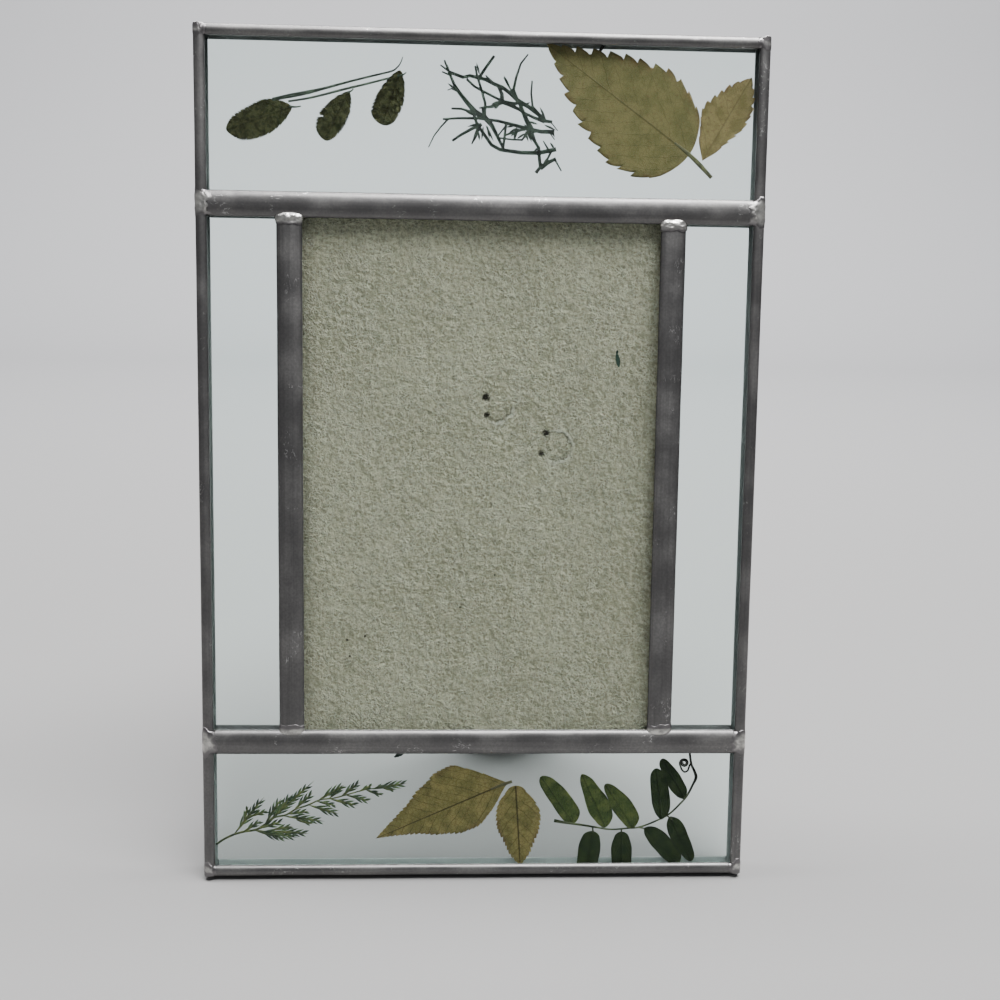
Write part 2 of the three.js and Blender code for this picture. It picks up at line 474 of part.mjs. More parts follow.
// Hinge plate riveted to the back of the board, with one knuckle at its top edge
const RIVETS = [[4.2, 123.5], [19.6, 113.4]];
const LEG_X = (RIVETS[0][0] + RIVETS[1][0]) / 2;
const AXIS_Y = 7.8;
const AXIS_Z = 131;
const PIN = 0.9;
const BORE = PIN + 0.1;
const KNUCKLE = 1.9;
const KNUCKLE_LENGTH = 11;
const NECK = KNUCKLE_LENGTH / 2;
const SHEET = 0.7;
const PLATE_FRONT = BOARD_BACK + 0.1;
const rod = (r, x0, x1) => new THREE.CylinderGeometry(r, r, x1 - x0, 16)
  .rotateZ(Math.PI / 2).translate((x0 + x1) / 2, 0, 0);
const rivetHead = ([x, z]) => new THREE.CylinderGeometry(1.7, 2.9, 0.8, 14)
  .translate(x, PLATE_FRONT + SHEET + 0.35, z);
const plate = joined([
  block(LEG_X - 13, LEG_X + 13, PLATE_FRONT, PLATE_FRONT + SHEET, 108, AXIS_Z - 2.6),
  block(LEG_X - NECK, LEG_X + NECK, PLATE_FRONT, PLATE_FRONT + SHEET, AXIS_Z - 3, AXIS_Z + 0.6),
  rod(KNUCKLE, LEG_X - NECK, LEG_X + NECK).translate(0, AXIS_Y, AXIS_Z),
  ...RIVETS.map(rivetHead),
]);
const bore = solid(rod(BORE, LEG_X - KNUCKLE_LENGTH, LEG_X + KNUCKLE_LENGTH).translate(0, AXIS_Y, AXIS_Z));
place(panel, 'hinge_plate', shell(plate.subtract(bore)), 'steel');

// Easel leg, open to its stop: a tapered board hung by a strap and pin, its foot cut level with the floor
const OPEN = deg(29);
const LEG_THICK = 2.5;
const LEG_TOP = 2.6;
const LEG_HEAD_HALF = 11;
const LEG_FOOT_HALF = 17;
assembly.updateMatrixWorld(true);
const floor = new THREE.Box3().setFromObject(panel, true).min.z;
const axisHeight = AXIS_Z * Math.cos(LEAN) - AXIS_Y * Math.sin(LEAN) - floor;
const slope = OPEN - LEAN;
const reach = (y) => (axisHeight + y * Math.sin(slope)) / Math.cos(slope);

const leg = new THREE.Group();
leg.position.set(LEG_X, AXIS_Y, AXIS_Z);
leg.rotation.x = OPEN;
panel.add(leg);

const legBoard = block(-1, 1, 0, LEG_THICK, -1, 0);
const corners = legBoard.attributes.position;
for (let i = 0; i < corners.count; i += 1) {
  const foot = corners.getZ(i) < -0.5;
  const half = foot ? LEG_FOOT_HALF : LEG_HEAD_HALF;
  const drop = foot ? reach(corners.getY(i)) : LEG_TOP;
  corners.setXYZ(i, corners.getX(i) * half, corners.getY(i), -drop);
}
place(leg, 'leg_board', legBoard, 'board');

const STRAP_HALF = 9;
const STRAP_BACK = LEG_THICK + 0.1 + SHEET;
const HUB_IN = NECK + 0.3;
const strap = joined([
  rod(PIN, -STRAP_HALF, STRAP_HALF),
  rod(KNUCKLE, -STRAP_HALF, -HUB_IN),
  rod(KNUCKLE, HUB_IN, STRAP_HALF),
  block(-STRAP_HALF, -HUB_IN, 0, STRAP_BACK, -LEG_TOP + 0.1, -1),
  block(HUB_IN, STRAP_HALF, 0, STRAP_BACK, -LEG_TOP + 0.1, -1),
  block(-STRAP_HALF, STRAP_HALF, STRAP_BACK - SHEET, STRAP_BACK, -22, -2.3),
]);
place(leg, 'leg_strap', shell(strap), 'steel');

// Stand the frame on the floor with its origin under the middle of its box
assembly.updateMatrixWorld(true);
const box = new THREE.Box3().setFromObject(assembly, true);
assembly.position.set(0, -(box.min.y + box.max.y) / 2, -box.min.z);

export default group;
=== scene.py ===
import math

import bmesh
import bpy
import numpy as np
from mathutils import Matrix, Vector


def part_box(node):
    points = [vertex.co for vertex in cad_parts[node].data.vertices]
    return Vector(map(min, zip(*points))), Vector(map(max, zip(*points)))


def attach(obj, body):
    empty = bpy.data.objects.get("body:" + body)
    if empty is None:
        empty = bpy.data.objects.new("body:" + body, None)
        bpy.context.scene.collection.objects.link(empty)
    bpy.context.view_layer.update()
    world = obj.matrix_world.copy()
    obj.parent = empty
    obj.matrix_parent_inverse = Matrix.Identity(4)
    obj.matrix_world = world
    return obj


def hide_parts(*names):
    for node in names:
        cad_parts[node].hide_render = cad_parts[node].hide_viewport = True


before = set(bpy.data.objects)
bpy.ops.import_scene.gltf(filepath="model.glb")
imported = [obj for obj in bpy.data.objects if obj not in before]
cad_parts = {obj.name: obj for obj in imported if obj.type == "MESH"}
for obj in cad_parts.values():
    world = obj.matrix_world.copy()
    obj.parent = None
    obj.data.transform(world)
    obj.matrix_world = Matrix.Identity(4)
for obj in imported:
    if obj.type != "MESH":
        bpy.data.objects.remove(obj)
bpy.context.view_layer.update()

# The camera stands a little left of the middle and looks slightly down on the leaning frame.
# Its place and turn were fitted to the straight lead strips, as seen by a lens of medium length.
EYE = Vector((-0.0104, -0.3293, 0.1924))
LOOK = Vector((0.0486, 0.9565, -0.2876))
RISE = Vector((-0.0084, 0.2883, 0.9575))
LENS = 45.3

camera = bpy.data.objects.new("camera", bpy.data.cameras.new("camera"))
camera.data.lens = LENS
camera.data.sensor_width = 36
camera.data.clip_start = 0.01
back = -LOOK.normalized()
side = RISE.cross(back).normalized()
camera.matrix_world = Matrix((side, back.cross(side), back)).transposed().to_4x4()
camera.matrix_world.translation = EYE
bpy.context.collection.objects.link(camera)
bpy.context.scene.camera = camera

# Lead came: soft drawn strips, a U section round the outside and an H section between the panes.
# Both have half-round faces; the lead has dulled to dark grey, with drawn streaks and bright nicks.
# Pale cement fills their slots round the glass. Sizes are millimetres in the frame's own leaning plane.
LEAN = math.radians(10)
WIDTH = 142.0
HEIGHT = 216.0
DEPTH = 5.4
SLOT_HALF = 2.8
EDGE_FACE = 2.8
EDGE_WEB = 0.9
EDGE_LIP = 2.95
EDGE_DOME = 0.95
BAR_HALF = 3.175
BAR_HEART = 0.75
BAR_LIP = 3.15
BAR_DOME = 1.3
UPPER_BAR = 173.2
LOWER_BAR = 36.2
UPRIGHT = 48.0
BAR_END = 68.05
STATION = 0.45
DENTS_PER_MM = 0.2
BUTT_GAP = 0.15
PANE_LOW = 37.15
PANE_HIGH = 172.25
window_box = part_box("glass_window")
FOOT = np.array([
    0.0,
    window_box[0][1] - PANE_LOW / 1000 * math.sin(LEAN),
    window_box[1][2] - PANE_HIGH / 1000 * math.cos(LEAN),
])


def stand(points):
    """Frame millimetres (right, back, up the frame) to the leaning place in metres."""
    x, y, z = np.moveaxis(np.asarray(points, float) / 1000, -1, 0)
    across = y * math.cos(LEAN) + z * math.sin(LEAN)
    up = z * math.cos(LEAN) - y * math.sin(LEAN)
    return np.stack([x, across, up], -1) + FOOT


def ripple(rng, a, b, size, count=9):
    """Smooth uneven field about -1 to 1: a mean of sine waves of random heading, each about size long."""
    total = np.zeros(np.broadcast(a, b).shape)
    for _ in range(count):
        heading = rng.uniform(0, 2 * math.pi)
        wave = 2 * math.pi / (size * rng.uniform(0.6, 1.7))
        total += np.sin(wave * (a * math.cos(heading) + b * math.sin(heading)) + rng.uniform(0, 7))
    return total / math.sqrt(count)


def piece(name, points, faces, material, uv=None, margin=None, cad=None):
    """A smooth mesh of the frame body from points in metres, with its UV map and its margin attribute."""
    mesh = bpy.data.meshes.new(name)
    mesh.from_pydata(np.asarray(points).reshape(-1, 3).tolist(), [], [list(map(int, f)) for f in faces])
    mesh.polygons.foreach_set("use_smooth", np.ones(len(mesh.polygons), bool))
    if uv is not None:
        layer = mesh.uv_layers.new(name="UVMap")
        corner = np.empty(len(mesh.loops), int)
        mesh.loops.foreach_get("vertex_index", corner)
        layer.data.foreach_set("uv", np.asarray(uv, np.float32).reshape(-1, 2)[corner].ravel())
    if margin is not None:
        field = mesh.attributes.new("margin", "FLOAT", "POINT")
        field.data.foreach_set("value", np.asarray(margin, np.float32).ravel())
    mesh.update()
    mesh.materials.append(material)
    made = bpy.data.objects.new(name, mesh)
    bpy.context.collection.objects.link(made)
    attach(made, "frame")
    if cad:
        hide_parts(cad)
    return made


def rings(grid):
    """Faces of a closed tube: rows of the grid are rings, joined in order and capped at both ends."""
    rows, count = grid.shape[:2]
    i, j = np.meshgrid(np.arange(rows - 1), np.arange(count), indexing="ij")
    k = (j + 1) % count
    quads = np.stack([i * count + j, i * count + k, (i + 1) * count + k, (i + 1) * count + j], -1)
    last = (rows - 1) * count + np.arange(count)
    return [*quads.reshape(-1, 4), np.arange(count)[::-1], last]


class Wire:
    """One output of a material's nodes; ordinary arithmetic on it adds the nodes that work it out."""

    def __init__(self, tree, socket):
        self.tree = tree
        self.socket = socket

    def node(self, kind, sockets, out=0, **settings):
        """Adds any node with its settings and inputs, and gives one of its outputs."""
        new = self.tree.nodes.new(kind)
        for key, value in settings.items():
            setattr(new, key, value)
        for key, value in sockets.items():
            if isinstance(value, Wire):
                self.tree.links.new(value.socket, new.inputs[key])
            else:
                new.inputs[key].default_value = value
        return Wire(self.tree, new.outputs[out])

    def math(self, operation, *rest):
        return self.node("ShaderNodeMath", dict(enumerate((self, *rest))), operation=operation)

    def __add__(self, other):
        return self.math("ADD", other)

    def __sub__(self, other):
        return self.math("SUBTRACT", other)

    def __rsub__(self, other):
        return self.math("MULTIPLY_ADD", -1.0, other)

    def __mul__(self, other):
        return self.math("MULTIPLY", other)

    __radd__ = __add__
    __rmul__ = __mul__

    def __abs__(self):
        return self.math("ABSOLUTE")

    def rise(self, low, high, start=0.0, end=1.0):
        """Goes smoothly from start to end as this goes from low to high."""
        ends = {"Value": self, "From Min": low, "From Max": high, "To Min": start, "To Max": end}
        return self.node("ShaderNodeMapRange", ends, interpolation_type="SMOOTHSTEP")

    def blend(self, low, high):
        """Mixes two colours, each plain or another wire, by this."""
        ends = {0: self, 6: low, 7: high}
        return self.node("ShaderNodeMix", ends, out=2, data_type="RGBA")

    def noise(self, size, detail=4.0, rough=0.55, stretch=(1, 1, 1), shift=0.0):
        """Cloudy noise, 0 to 1, with features about size metres, stretched along the axes."""
        place = {"Vector": self, "Location": (shift,) * 3, "Scale": stretch}
        spread = self.node("ShaderNodeMapping", place)
        sockets = {"Vector": spread, "Scale": 1 / size, "Detail": detail, "Roughness": rough}
        return self.node("ShaderNodeTexNoise", sockets)

    def strokes(self, size, thin, stretch=(1, 1, 1), shift=0.0):
        """Fine curling lines, 1 on the line: where a soft noise crosses its middle."""
        return abs(self.noise(size, 1.5, 0.5, stretch, shift) - 0.5).rise(0.0, thin, 1, 0)

    def part(self, axis):
        """One coordinate of a vector."""
        return self.node("ShaderNodeSeparateXYZ", {"Vector": self}, out=axis)

    def gap(self, place):
        """Distance from a fixed place."""
        return self.node("ShaderNodeVectorMath", {0: self, 1: place}, out=1, operation="DISTANCE")


def look(name, **fixed):
    """A new material: its shader with the fixed values set, and the coordinates it reads."""
    made = bpy.data.materials.new(name)
    made.use_nodes = True
    tree = made.node_tree
    shader = tree.nodes["Principled BSDF"]
    for key, value in fixed.items():
        shader.inputs[key.replace("_", " ")].default_value = value
    coords = tree.nodes.new("ShaderNodeTexCoord")
    return made, shader, Wire(tree, coords.outputs["Object"]), Wire(tree, coords.outputs["UV"])


def drive(shader, height=None, depth=0.0001, strength=0.5, **sockets):
    """Joins varying values to the shader, and a height field to its normal as a bump."""
    for key, value in sockets.items():
        value.tree.links.new(value.socket, shader.inputs[key.replace("_", " ")])
    if height is not None:
        bump = height.node("ShaderNodeBump", {"Height": height, "Distance": depth, "Strength": strength})
        height.tree.links.new(bump.socket, shader.inputs["Normal"])


lead, shader, at, skin = look("lead")
# Painted shade: the pale cement is blended in less up the frame and least at its head, so the slot under
# the top edge strip stays dark where it lies in shadow.
groove = at.node("ShaderNodeAttribute", {}, out=2, attribute_name="margin")
cement = groove * at.part(2).rise(0.02, 0.06, 1, 0.55) * at.part(2).rise(0.185, 0.205, 1, 0.3)
cloud = at.noise(0.012, detail=3).rise(0.35, 0.7)
drawn = skin.noise(0.0008, detail=3, stretch=(0.02, 1, 1))
cluster = skin.noise(0.007, detail=2).rise(0.56, 0.68)
cluster = cluster * skin.noise(0.0011, detail=2, shift=4).rise(0.5, 0.6)
nicks = cluster * skin.strokes(0.0008, 0.045, stretch=(0.4, 1, 1))
metal = cloud.blend((0.13, 0.127, 0.126, 1), (0.185, 0.181, 0.177, 1))
metal = drawn.rise(0.35, 0.75, 0, 0.55).blend(metal, (0.095, 0.093, 0.093, 1))
metal = at.noise(0.0006, detail=2).rise(0.35, 0.65, 0.3, 0).blend(metal, (0.08, 0.077, 0.08, 1))
metal = (nicks * 0.5).blend(metal, (0.7, 0.69, 0.68, 1))
drive(
    shader,
    height=0.35 * drawn + 0.5 * nicks + 0.25 * at.noise(0.0009, detail=4),
    depth=0.00005,
    strength=0.4,
    Base_Color=cement.blend(metal, (0.62, 0.64, 0.63, 1)),
    Metallic=1.0 - cement,
    Roughness=0.4 + 0.1 * cloud - 0.08 * nicks + 0.4 * cement,
)


def edge_section():
    """U section as (across, through): a half-round on each face, the slot, and a flat outer side."""
    turn = np.linspace(0, math.pi, 19)
    dome = np.stack([EDGE_FACE / 2 * (1 - np.cos(turn)), -EDGE_LIP - EDGE_DOME * np.sin(turn)], -1)
    half = np.vstack([dome, [[EDGE_FACE, -SLOT_HALF], [EDGE_WEB, -SLOT_HALF]]])
    outer = np.stack([np.zeros(9), np.linspace(EDGE_LIP, -EDGE_LIP, 11)[1:-1]], -1)
    return np.vstack([half, half[::-1] * [1, -1], outer])


def bar_section():
    """H section as (across, through): half ellipses on both faces and a slot each side of the heart."""
    turn = np.linspace(0, math.pi, 27)
    dome = np.stack([-BAR_HALF * np.cos(turn), -BAR_LIP - BAR_DOME * np.sin(turn)], -1)
    half = np.vstack([dome, [[BAR_HALF, -SLOT_HALF], [BAR_HEART, -SLOT_HALF]]])
    return np.vstack([half, -half])


def came(name, section, start, end, out, seed):
    """A section carried along a straight run in small steps, with soft waves and shallow round dents.
    The margin attribute is 1 in the slots, where the cement is."""
    rng = np.random.default_rng(seed)
    start, end, out = (np.array(v, float) for v in (start, end, out))
    length = np.linalg.norm(end - start)
    run = np.linspace(0, length, int(length / STATION) + 2)[:, None]
    spoke = section - section.mean(0)
    spoke /= np.linalg.norm(spoke, axis=1)[:, None]
    girth = np.cumsum(np.r_[0, np.linalg.norm(np.diff(section, axis=0), axis=1)])[None]
    skin = 0.025 * ripple(rng, run, girth * 3, 26) + 0.004 * ripple(rng, run, girth, 2.5)
    for _ in range(int(length * DENTS_PER_MM)):
        at, around = rng.uniform(0, length), rng.uniform(0, girth.max())
        wide, tall = rng.uniform(0.4, 1.2), rng.uniform(0.3, 0.8)
        dent = np.exp(-(((run - at) / wide) ** 2) - ((girth - around) / tall) ** 2)
        skin -= rng.uniform(0.02, 0.07) * dent
    outside = (np.abs(section[:, 1]) > SLOT_HALF + 0.05) | (np.abs(section[:, 0]) < 0.01)
    moved = section[None] + (skin * outside)[..., None] * spoke[None]
    along = (end - start) / length
    through = np.array([0.0, 1.0, 0.0])
    grid = start + along * run[..., None] + out * moved[..., :1] + through * (DEPTH / 2 + moved[..., 1:])
    faces = rings(grid)
    if np.dot(np.cross(out, through), along) < 0:
        faces = [f[::-1] for f in faces]
    uv = np.stack(np.broadcast_arrays(run, girth), -1) / 1000 + 0.2 * seed
    cement = np.broadcast_to(~outside, moved.shape[:2])
    piece(name + "_drawn", stand(grid), faces, lead, uv=uv, margin=cement, cad=name)


FOOT_END = LOWER_BAR + BAR_HALF + BUTT_GAP
HEAD_END = UPPER_BAR - BAR_HALF - BUTT_GAP
EDGE, BAR = edge_section(), bar_section()
came("came_left_edge", EDGE, (-WIDTH / 2, 0, 0), (-WIDTH / 2, 0, HEIGHT), (1, 0, 0), 1)
came("came_right_edge", EDGE, (WIDTH / 2, 0, 0), (WIDTH / 2, 0, HEIGHT), (-1, 0, 0), 2)
came("came_top_edge", EDGE, (-BAR_END, 0, HEIGHT), (BAR_END, 0, HEIGHT), (0, 0, -1), 3)
came("came_bottom_edge", EDGE, (-BAR_END, 0, 0), (BAR_END, 0, 0), (0, 0, 1), 4)
came("came_upper_bar", BAR, (-BAR_END, 0, UPPER_BAR), (BAR_END, 0, UPPER_BAR), (0, 0, 1), 5)
came("came_lower_bar", BAR, (-BAR_END, 0, LOWER_BAR), (BAR_END, 0, LOWER_BAR), (0, 0, 1), 6)
came("came_left_upright", BAR, (-UPRIGHT, 0, FOOT_END), (-UPRIGHT, 0, HEAD_END), (1, 0, 0), 7)
came("came_right_upright", BAR, (UPRIGHT, 0, FOOT_END), (UPRIGHT, 0, HEAD_END), (1, 0, 0), 8)

# Solder: run over every joint with an iron, a thin bright uneven skin with soft edges.
# The outer joints wrap the edge strip from front to back; a collar closes each end of an upright.
tin, shader, at, _ = look("solder", Metallic=1.0)
rim = at.node("ShaderNodeAttribute", {}, out=2, attribute_name="margin")
dull = at.noise(0.0025).rise(0.42, 0.6)
worn = (rim + 0.5 * (at.noise(0.0015) - 0.5)).rise(0.45, 0.95)
bright = dull.blend((0.55, 0.54, 0.51, 1), (0.3, 0.295, 0.285, 1))
drive(
    shader,
    height=at.noise(0.0008, detail=5),
    depth=0.00012,
    strength=0.45,
    Base_Color=worn.blend(bright, (0.16, 0.153, 0.155, 1)),
    Roughness=0.32 + 0.1 * dull,
)
BAR_JOINT = (BAR_LIP, BAR_DOME, BAR_HALF)
EDGE_JOINT = (EDGE_LIP, EDGE_DOME, EDGE_FACE / 2)
CROWN = EDGE_FACE / 2


def slab(front):
    """Faces of a closed slab: a grid and its copy behind it, of the same shape, joined round their rim."""
    rows, count = front.shape[:2]
    total = rows * count
    i, j = np.meshgrid(np.arange(rows - 1), np.arange(count - 1), indexing="ij")
    cell = i * count + j
    near = np.stack([cell, cell + 1, cell + count + 1, cell + count], -1).reshape(-1, 4)
    far = near[:, ::-1] + total
    rim = np.r_[
        np.arange(count - 1),
        np.arange(rows - 1) * count + count - 1,
        (rows - 1) * count + np.arange(count - 1, 0, -1),
        np.arange(rows - 1, 0, -1) * count,
    ]
    after = np.roll(rim, -1)
    wall = np.stack([after, rim, rim + total, after + total], -1)
    return np.vstack([near, far, wall])


def wrap(name, sign, z, half, thick, over, joint, centre, seed, dark=0.0, low=-1.0):
    """A skin on the edge strip: along its half-round, its flat side and its other half-round.
    Inward of the crown it climbs to the dome of the strip that meets it; it thins to all its edges.
    The margin attribute is 1 at those edges, and dark raises it all over."""
    rng = np.random.default_rng(seed)
    lip, dome, reach = joint
    inward = np.linspace(EDGE_FACE + over, CROWN, 16)
    turn = np.linspace(math.pi / 2, 0, 9)[1:]
    flat = np.linspace(-EDGE_LIP, EDGE_LIP, 15)[1:-1]
    corner = np.stack([CROWN * (1 - np.cos(turn)), -EDGE_LIP - EDGE_DOME * np.sin(turn)], -1)
    level = np.full_like(inward, -EDGE_LIP - EDGE_DOME)
    front = np.vstack([np.stack([inward, level], -1), corner])
    path = np.vstack([front, np.stack([0 * flat, flat], -1), front[::-1] * [1, -1]])
    out = np.vstack([
        np.tile([0, -1.0], (len(inward), 1)),
        np.stack([-np.cos(turn), -np.sin(turn)], -1),
        np.tile([-1.0, 0], (len(flat), 1)),
    ])
    out = np.vstack([out, out[: len(front)][::-1] * [1, -1]])
    a = np.linspace(-1, 1, 29)[:, None]
    b = np.linspace(-1, 1, len(path))[None]
    inner = np.clip((path[:, 0] - CROWN) / (EDGE_FACE - CROWN + 0.1), 0, 1)[None]
    spread = half * (1 + 0.14 * ripple(rng, b * 9, 0 * b, 3.5))
    spread = spread + (np.minimum(half, 0.92 * reach) - spread) * inner**0.5
    middle = z + (centre - z) * inner**0.5
    up = np.maximum(middle + a * spread, low)
    met = lip + dome * np.sqrt(np.clip(1 - ((up - centre) / reach) ** 2, 0, 1))
    ease = inner**2 * (3 - 2 * inner)
    own = EDGE_LIP + EDGE_DOME * np.sqrt(np.clip(1 - ((path[:, 0] - CROWN) / CROWN) ** 2, 0, 1))[None]
    climb = np.where(inner > 0, np.maximum(own + (met - own) * ease, own) - EDGE_LIP - EDGE_DOME, 0)
    thin = np.sqrt(np.clip(1 - a**2, 0, 1)) * np.clip(3 * (1 - np.abs(b)), 0.03, 1)
    lumps = 0.35 * ripple(rng, a * half, b * 9, 2.2) + 0.15 * ripple(rng, a * half, b * 9, 0.9)
    lift = thin * thick * (1 + lumps)
    slide = 0.45 * over * inner**3 * ripple(rng, a * half, 0 * a, 2.5)
    margin = np.broadcast_to(dark + np.maximum(np.abs(a), np.abs(b) ** 3), lift.shape)

    def skin(rise):
        place = path[None] + rise[..., None] * out[None]
        return np.stack([sign * (WIDTH / 2 - place[..., 0] + slide), DEPTH / 2 + place[..., 1], up], -1)

    grid = np.concatenate([skin(climb + np.maximum(lift, 0.015)), skin(climb - 0.05)[:, ::-1]], 1)
    faces = rings(grid)
    if sign > 0:
        faces = [f[::-1] for f in faces]
    piece(name + "_run", stand(grid), faces, tin,
          margin=np.concatenate([margin, margin[:, ::-1]], 1), cad=name)


def collar(name, x, z, toward, face, thick, dark, seed, back=1.5, beyond=1.7):
    """Solder at the end of an upright: its own dome and a skin that thins out back along the upright.
    It reaches beyond the end, where it is rounded off like a thumb over the cross bar."""
    rng = np.random.default_rng(seed)
    a = -np.cos(np.linspace(0, math.pi, 41))[None]
    run = np.linspace(-1, 1, 33)[:, None]
    run = np.where(run < 0, back * run * (1 + 0.2 * ripple(rng, a * 3, 0 * a, 2.5)), beyond * run)
    shut = np.sqrt(np.clip(1 - (np.maximum(run, 0) / (beyond + 0.02)) ** 2, 0, 1))
    skin = thick * np.sqrt(np.clip(1 - (np.minimum(run, 0) / (back + 0.5)) ** 2, 0, 1))
    skin = skin * (1 + 0.3 * ripple(rng, a * 3, run, 2.0) + 0.12 * ripple(rng, a * 3, run, 0.8))
    depth = BAR_LIP - 0.02 + (BAR_DOME * np.sqrt(1 - a**2) + np.maximum(skin, 0.02)) * shut
    across = x + a * (BAR_HALF + np.maximum(skin, 0.02)) * (0.45 + 0.55 * shut)
    up = np.broadcast_to(z + toward * run, depth.shape)
    near = np.stack([across, DEPTH / 2 + face * depth, up], -1)
    far = np.stack([across, np.full(depth.shape, DEPTH / 2 + face * (BAR_LIP - 0.2)), up], -1)
    faces = slab(near)
    if toward * face > 0:
        faces = faces[:, ::-1]
    margin = np.broadcast_to(dark + np.clip(-run / back, 0, 1), depth.shape)
    piece(name + "_run", stand(np.stack([near, far])), faces, tin,
          margin=np.stack([margin, margin]), cad=name)


def plug(name, sign, end, toward, inset=1.9, half=0.95, deep=2.75, tall=0.12, inside=1.0):
    """A low dome of solder, (1 - u^4)(1 - v^4) times tall, that closes the open end of the edge strip."""
    u, v = np.meshgrid(np.linspace(-1, 1, 9), np.linspace(-1, 1, 9))
    dome = tall * (1 - u**4) * (1 - v**4)
    x = sign * (WIDTH / 2 - inset + u * half)
    y = DEPTH / 2 + v * deep
    near = np.stack([x, y, end + toward * (dome - tall)], -1)
    far = np.stack([x, y, np.full(x.shape, end - toward * inside)], -1)
    faces = slab(near)
    if sign * toward < 0:
        faces = faces[:, ::-1]
    piece(name, stand(np.stack([near, far])), faces, tin, margin=np.full((2, *u.shape), 0.8))


for sign, hand in ((-1, "left"), (1, "right")):
    seed = 20 if sign < 0 else 40
    corner = f"solder_{hand}"
    wrap(f"{corner}_top", sign, HEIGHT - 1.6, 1.6, 0.1, 0.4, EDGE_JOINT, HEIGHT - CROWN, seed, 0.5)
    wrap(f"{corner}_bottom", sign, 2.0, 1.95, 0.1, 0.4, EDGE_JOINT, CROWN, seed + 1, 0.4, low=0.05)
    wrap(f"{corner}_upper", sign, UPPER_BAR, 3.9, 0.16, 1.3, BAR_JOINT, UPPER_BAR, seed + 2)
    wrap(f"{corner}_lower", sign, LOWER_BAR, 3.5, 0.14, 1.0, BAR_JOINT, LOWER_BAR, seed + 3, 0.15)
    plug(f"{corner}_top_plug", sign, HEIGHT, 1)
    plug(f"{corner}_bottom_plug", sign, 0.1, -1)
    for way, face in (("front", -1), ("back", 1)):
        seed += 5
        collar(f"{corner}_head_{way}", sign * UPRIGHT, HEAD_END, 1, face, 0.26, 0.0, seed)
        collar(f"{corner}_foot_{way}", sign * UPRIGHT, FOOT_END, -1, face, 0.08, 0.45, seed + 1)

# Glass: plain clear float panes, cut square and sealed in the slots of the came.
# The leaves lie between two panes; the middle opening has a single pane over the board.
glass, *_ = look(
    "glass",
    Base_Color=(0.95, 1.0, 0.99, 1),
    Specular_Tint=(0.1, 0.105, 0.105, 1),
    Transmission_Weight=1.0,
    Roughness=0.0,
    IOR=1.5,
)
for name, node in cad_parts.items():
    if name.startswith("glass_"):
        node.data.materials.clear()
        node.data.materials.append(glass)

# Backing board: stiff card covered with grey-khaki embossed paper, slid in behind the window pane.
# Two rivets of the hinge behind it press through as round creases, beside their holes and a few specks.
BOARD_FRONT = 3.1
BOARD_BACK = 5.3
BOARD_HALF = 47.05
# A rivet is given across, up, and the height at which its crease ends; a hole across, up, and its width.
RIVETS = ((4.4, 123.7, 123.5), (19.6, 113.6, 130.0))
CREASE = 3.6
PINHOLES = (
    (1.5, 126.2, 1.3), (1.7, 121.6, 0.95), (17.0, 117.1, 1.2), (16.0, 111.8, 1.05),
    (-33.9, 62.6, 0.4), (-29.3, 63.6, 0.4), (-33.2, 58.3, 0.3), (-4.7, 71.4, 0.25), (4.3, 79.9, 0.25),
)


def on_board(x, z):
    """A place on the board's face, in metres."""
    return tuple(float(v) for v in stand((x, BOARD_FRONT + 0.3, z)))


paper, shader, at, _ = look("board_paper", Roughness=0.82, Specular_IOR_Level=0.25)
curls = at.strokes(0.0014, 0.09) * at.noise(0.004, shift=3).rise(0.38, 0.6)
curls = curls + at.strokes(0.001, 0.1, shift=7) * at.noise(0.003, shift=5).rise(0.4, 0.62)
grain = at.noise(0.0005, detail=2, rough=0.6)
pebble = at.noise(0.0018, detail=3, rough=0.6, stretch=(0.8, 1, 1.2))
stain = at.noise(0.028, detail=3)
# Painted light and shade: a noise minus its shifted copy lightens the upward sides of the embossing and
# darkens the downward sides, as light from above would.
painted_relief_light = at.noise(0.0013, detail=3) - at.noise(0.0013, detail=3, shift=0.0003)
tone = stain.rise(0.3, 0.7).blend((0.44, 0.412, 0.285, 1), (0.55, 0.515, 0.362, 1))
tone = painted_relief_light.rise(-0.13, 0.0, 0.5, 0).blend(tone, (0.22, 0.2, 0.14, 1))
tone = painted_relief_light.rise(0.01, 0.13, 0, 0.5).blend(tone, (0.82, 0.78, 0.6, 1))
tone = grain.rise(0.3, 0.52, 0.4, 0).blend(tone, (0.2, 0.19, 0.13, 1))
tone = (curls * 0.35).blend(tone, (0.9, 0.88, 0.7, 1))
# Painted shadow: the board darkens towards its left and right edges, where the uprights cast their shade.
tone = abs(at.part(0)).rise(0.0405, 0.0455, 0, 0.4).blend(tone, (0.2, 0.19, 0.14, 1))
height = 0.6 * curls + 0.8 * grain + 1.8 * pebble
for rx, rz, top in RIVETS:
    ring = at.gap(on_board(rx, rz)) + (pebble - 0.5) * 0.0022 - CREASE / 1000
    _, _, limit = on_board(rx, top)
    shown = at.part(0).rise((rx - 3) / 1000, (rx - 1) / 1000)
    shown = shown * at.part(2).rise(limit - 0.001, limit + 0.001, 1, 0)
    shown = shown * at.noise(0.002, shift=8).rise(0.3, 0.5)
    # Painted shade and highlight: each crease gets a dark line inside and a pale rim outside, as on a
    # raised ring lit from above; both also shape the bump.
    fold_and_shade = abs(ring).rise(0.00012, 0.0005, 1, 0) * shown
    lip = abs(ring - 0.0006).rise(0.0002, 0.0006, 1, 0) * shown
    tone = (fold_and_shade * 0.5).blend(tone, (0.13, 0.12, 0.08, 1))
    tone = (lip * 0.65).blend(tone, (0.9, 0.88, 0.74, 1))
    height = height + lip - fold_and_shade
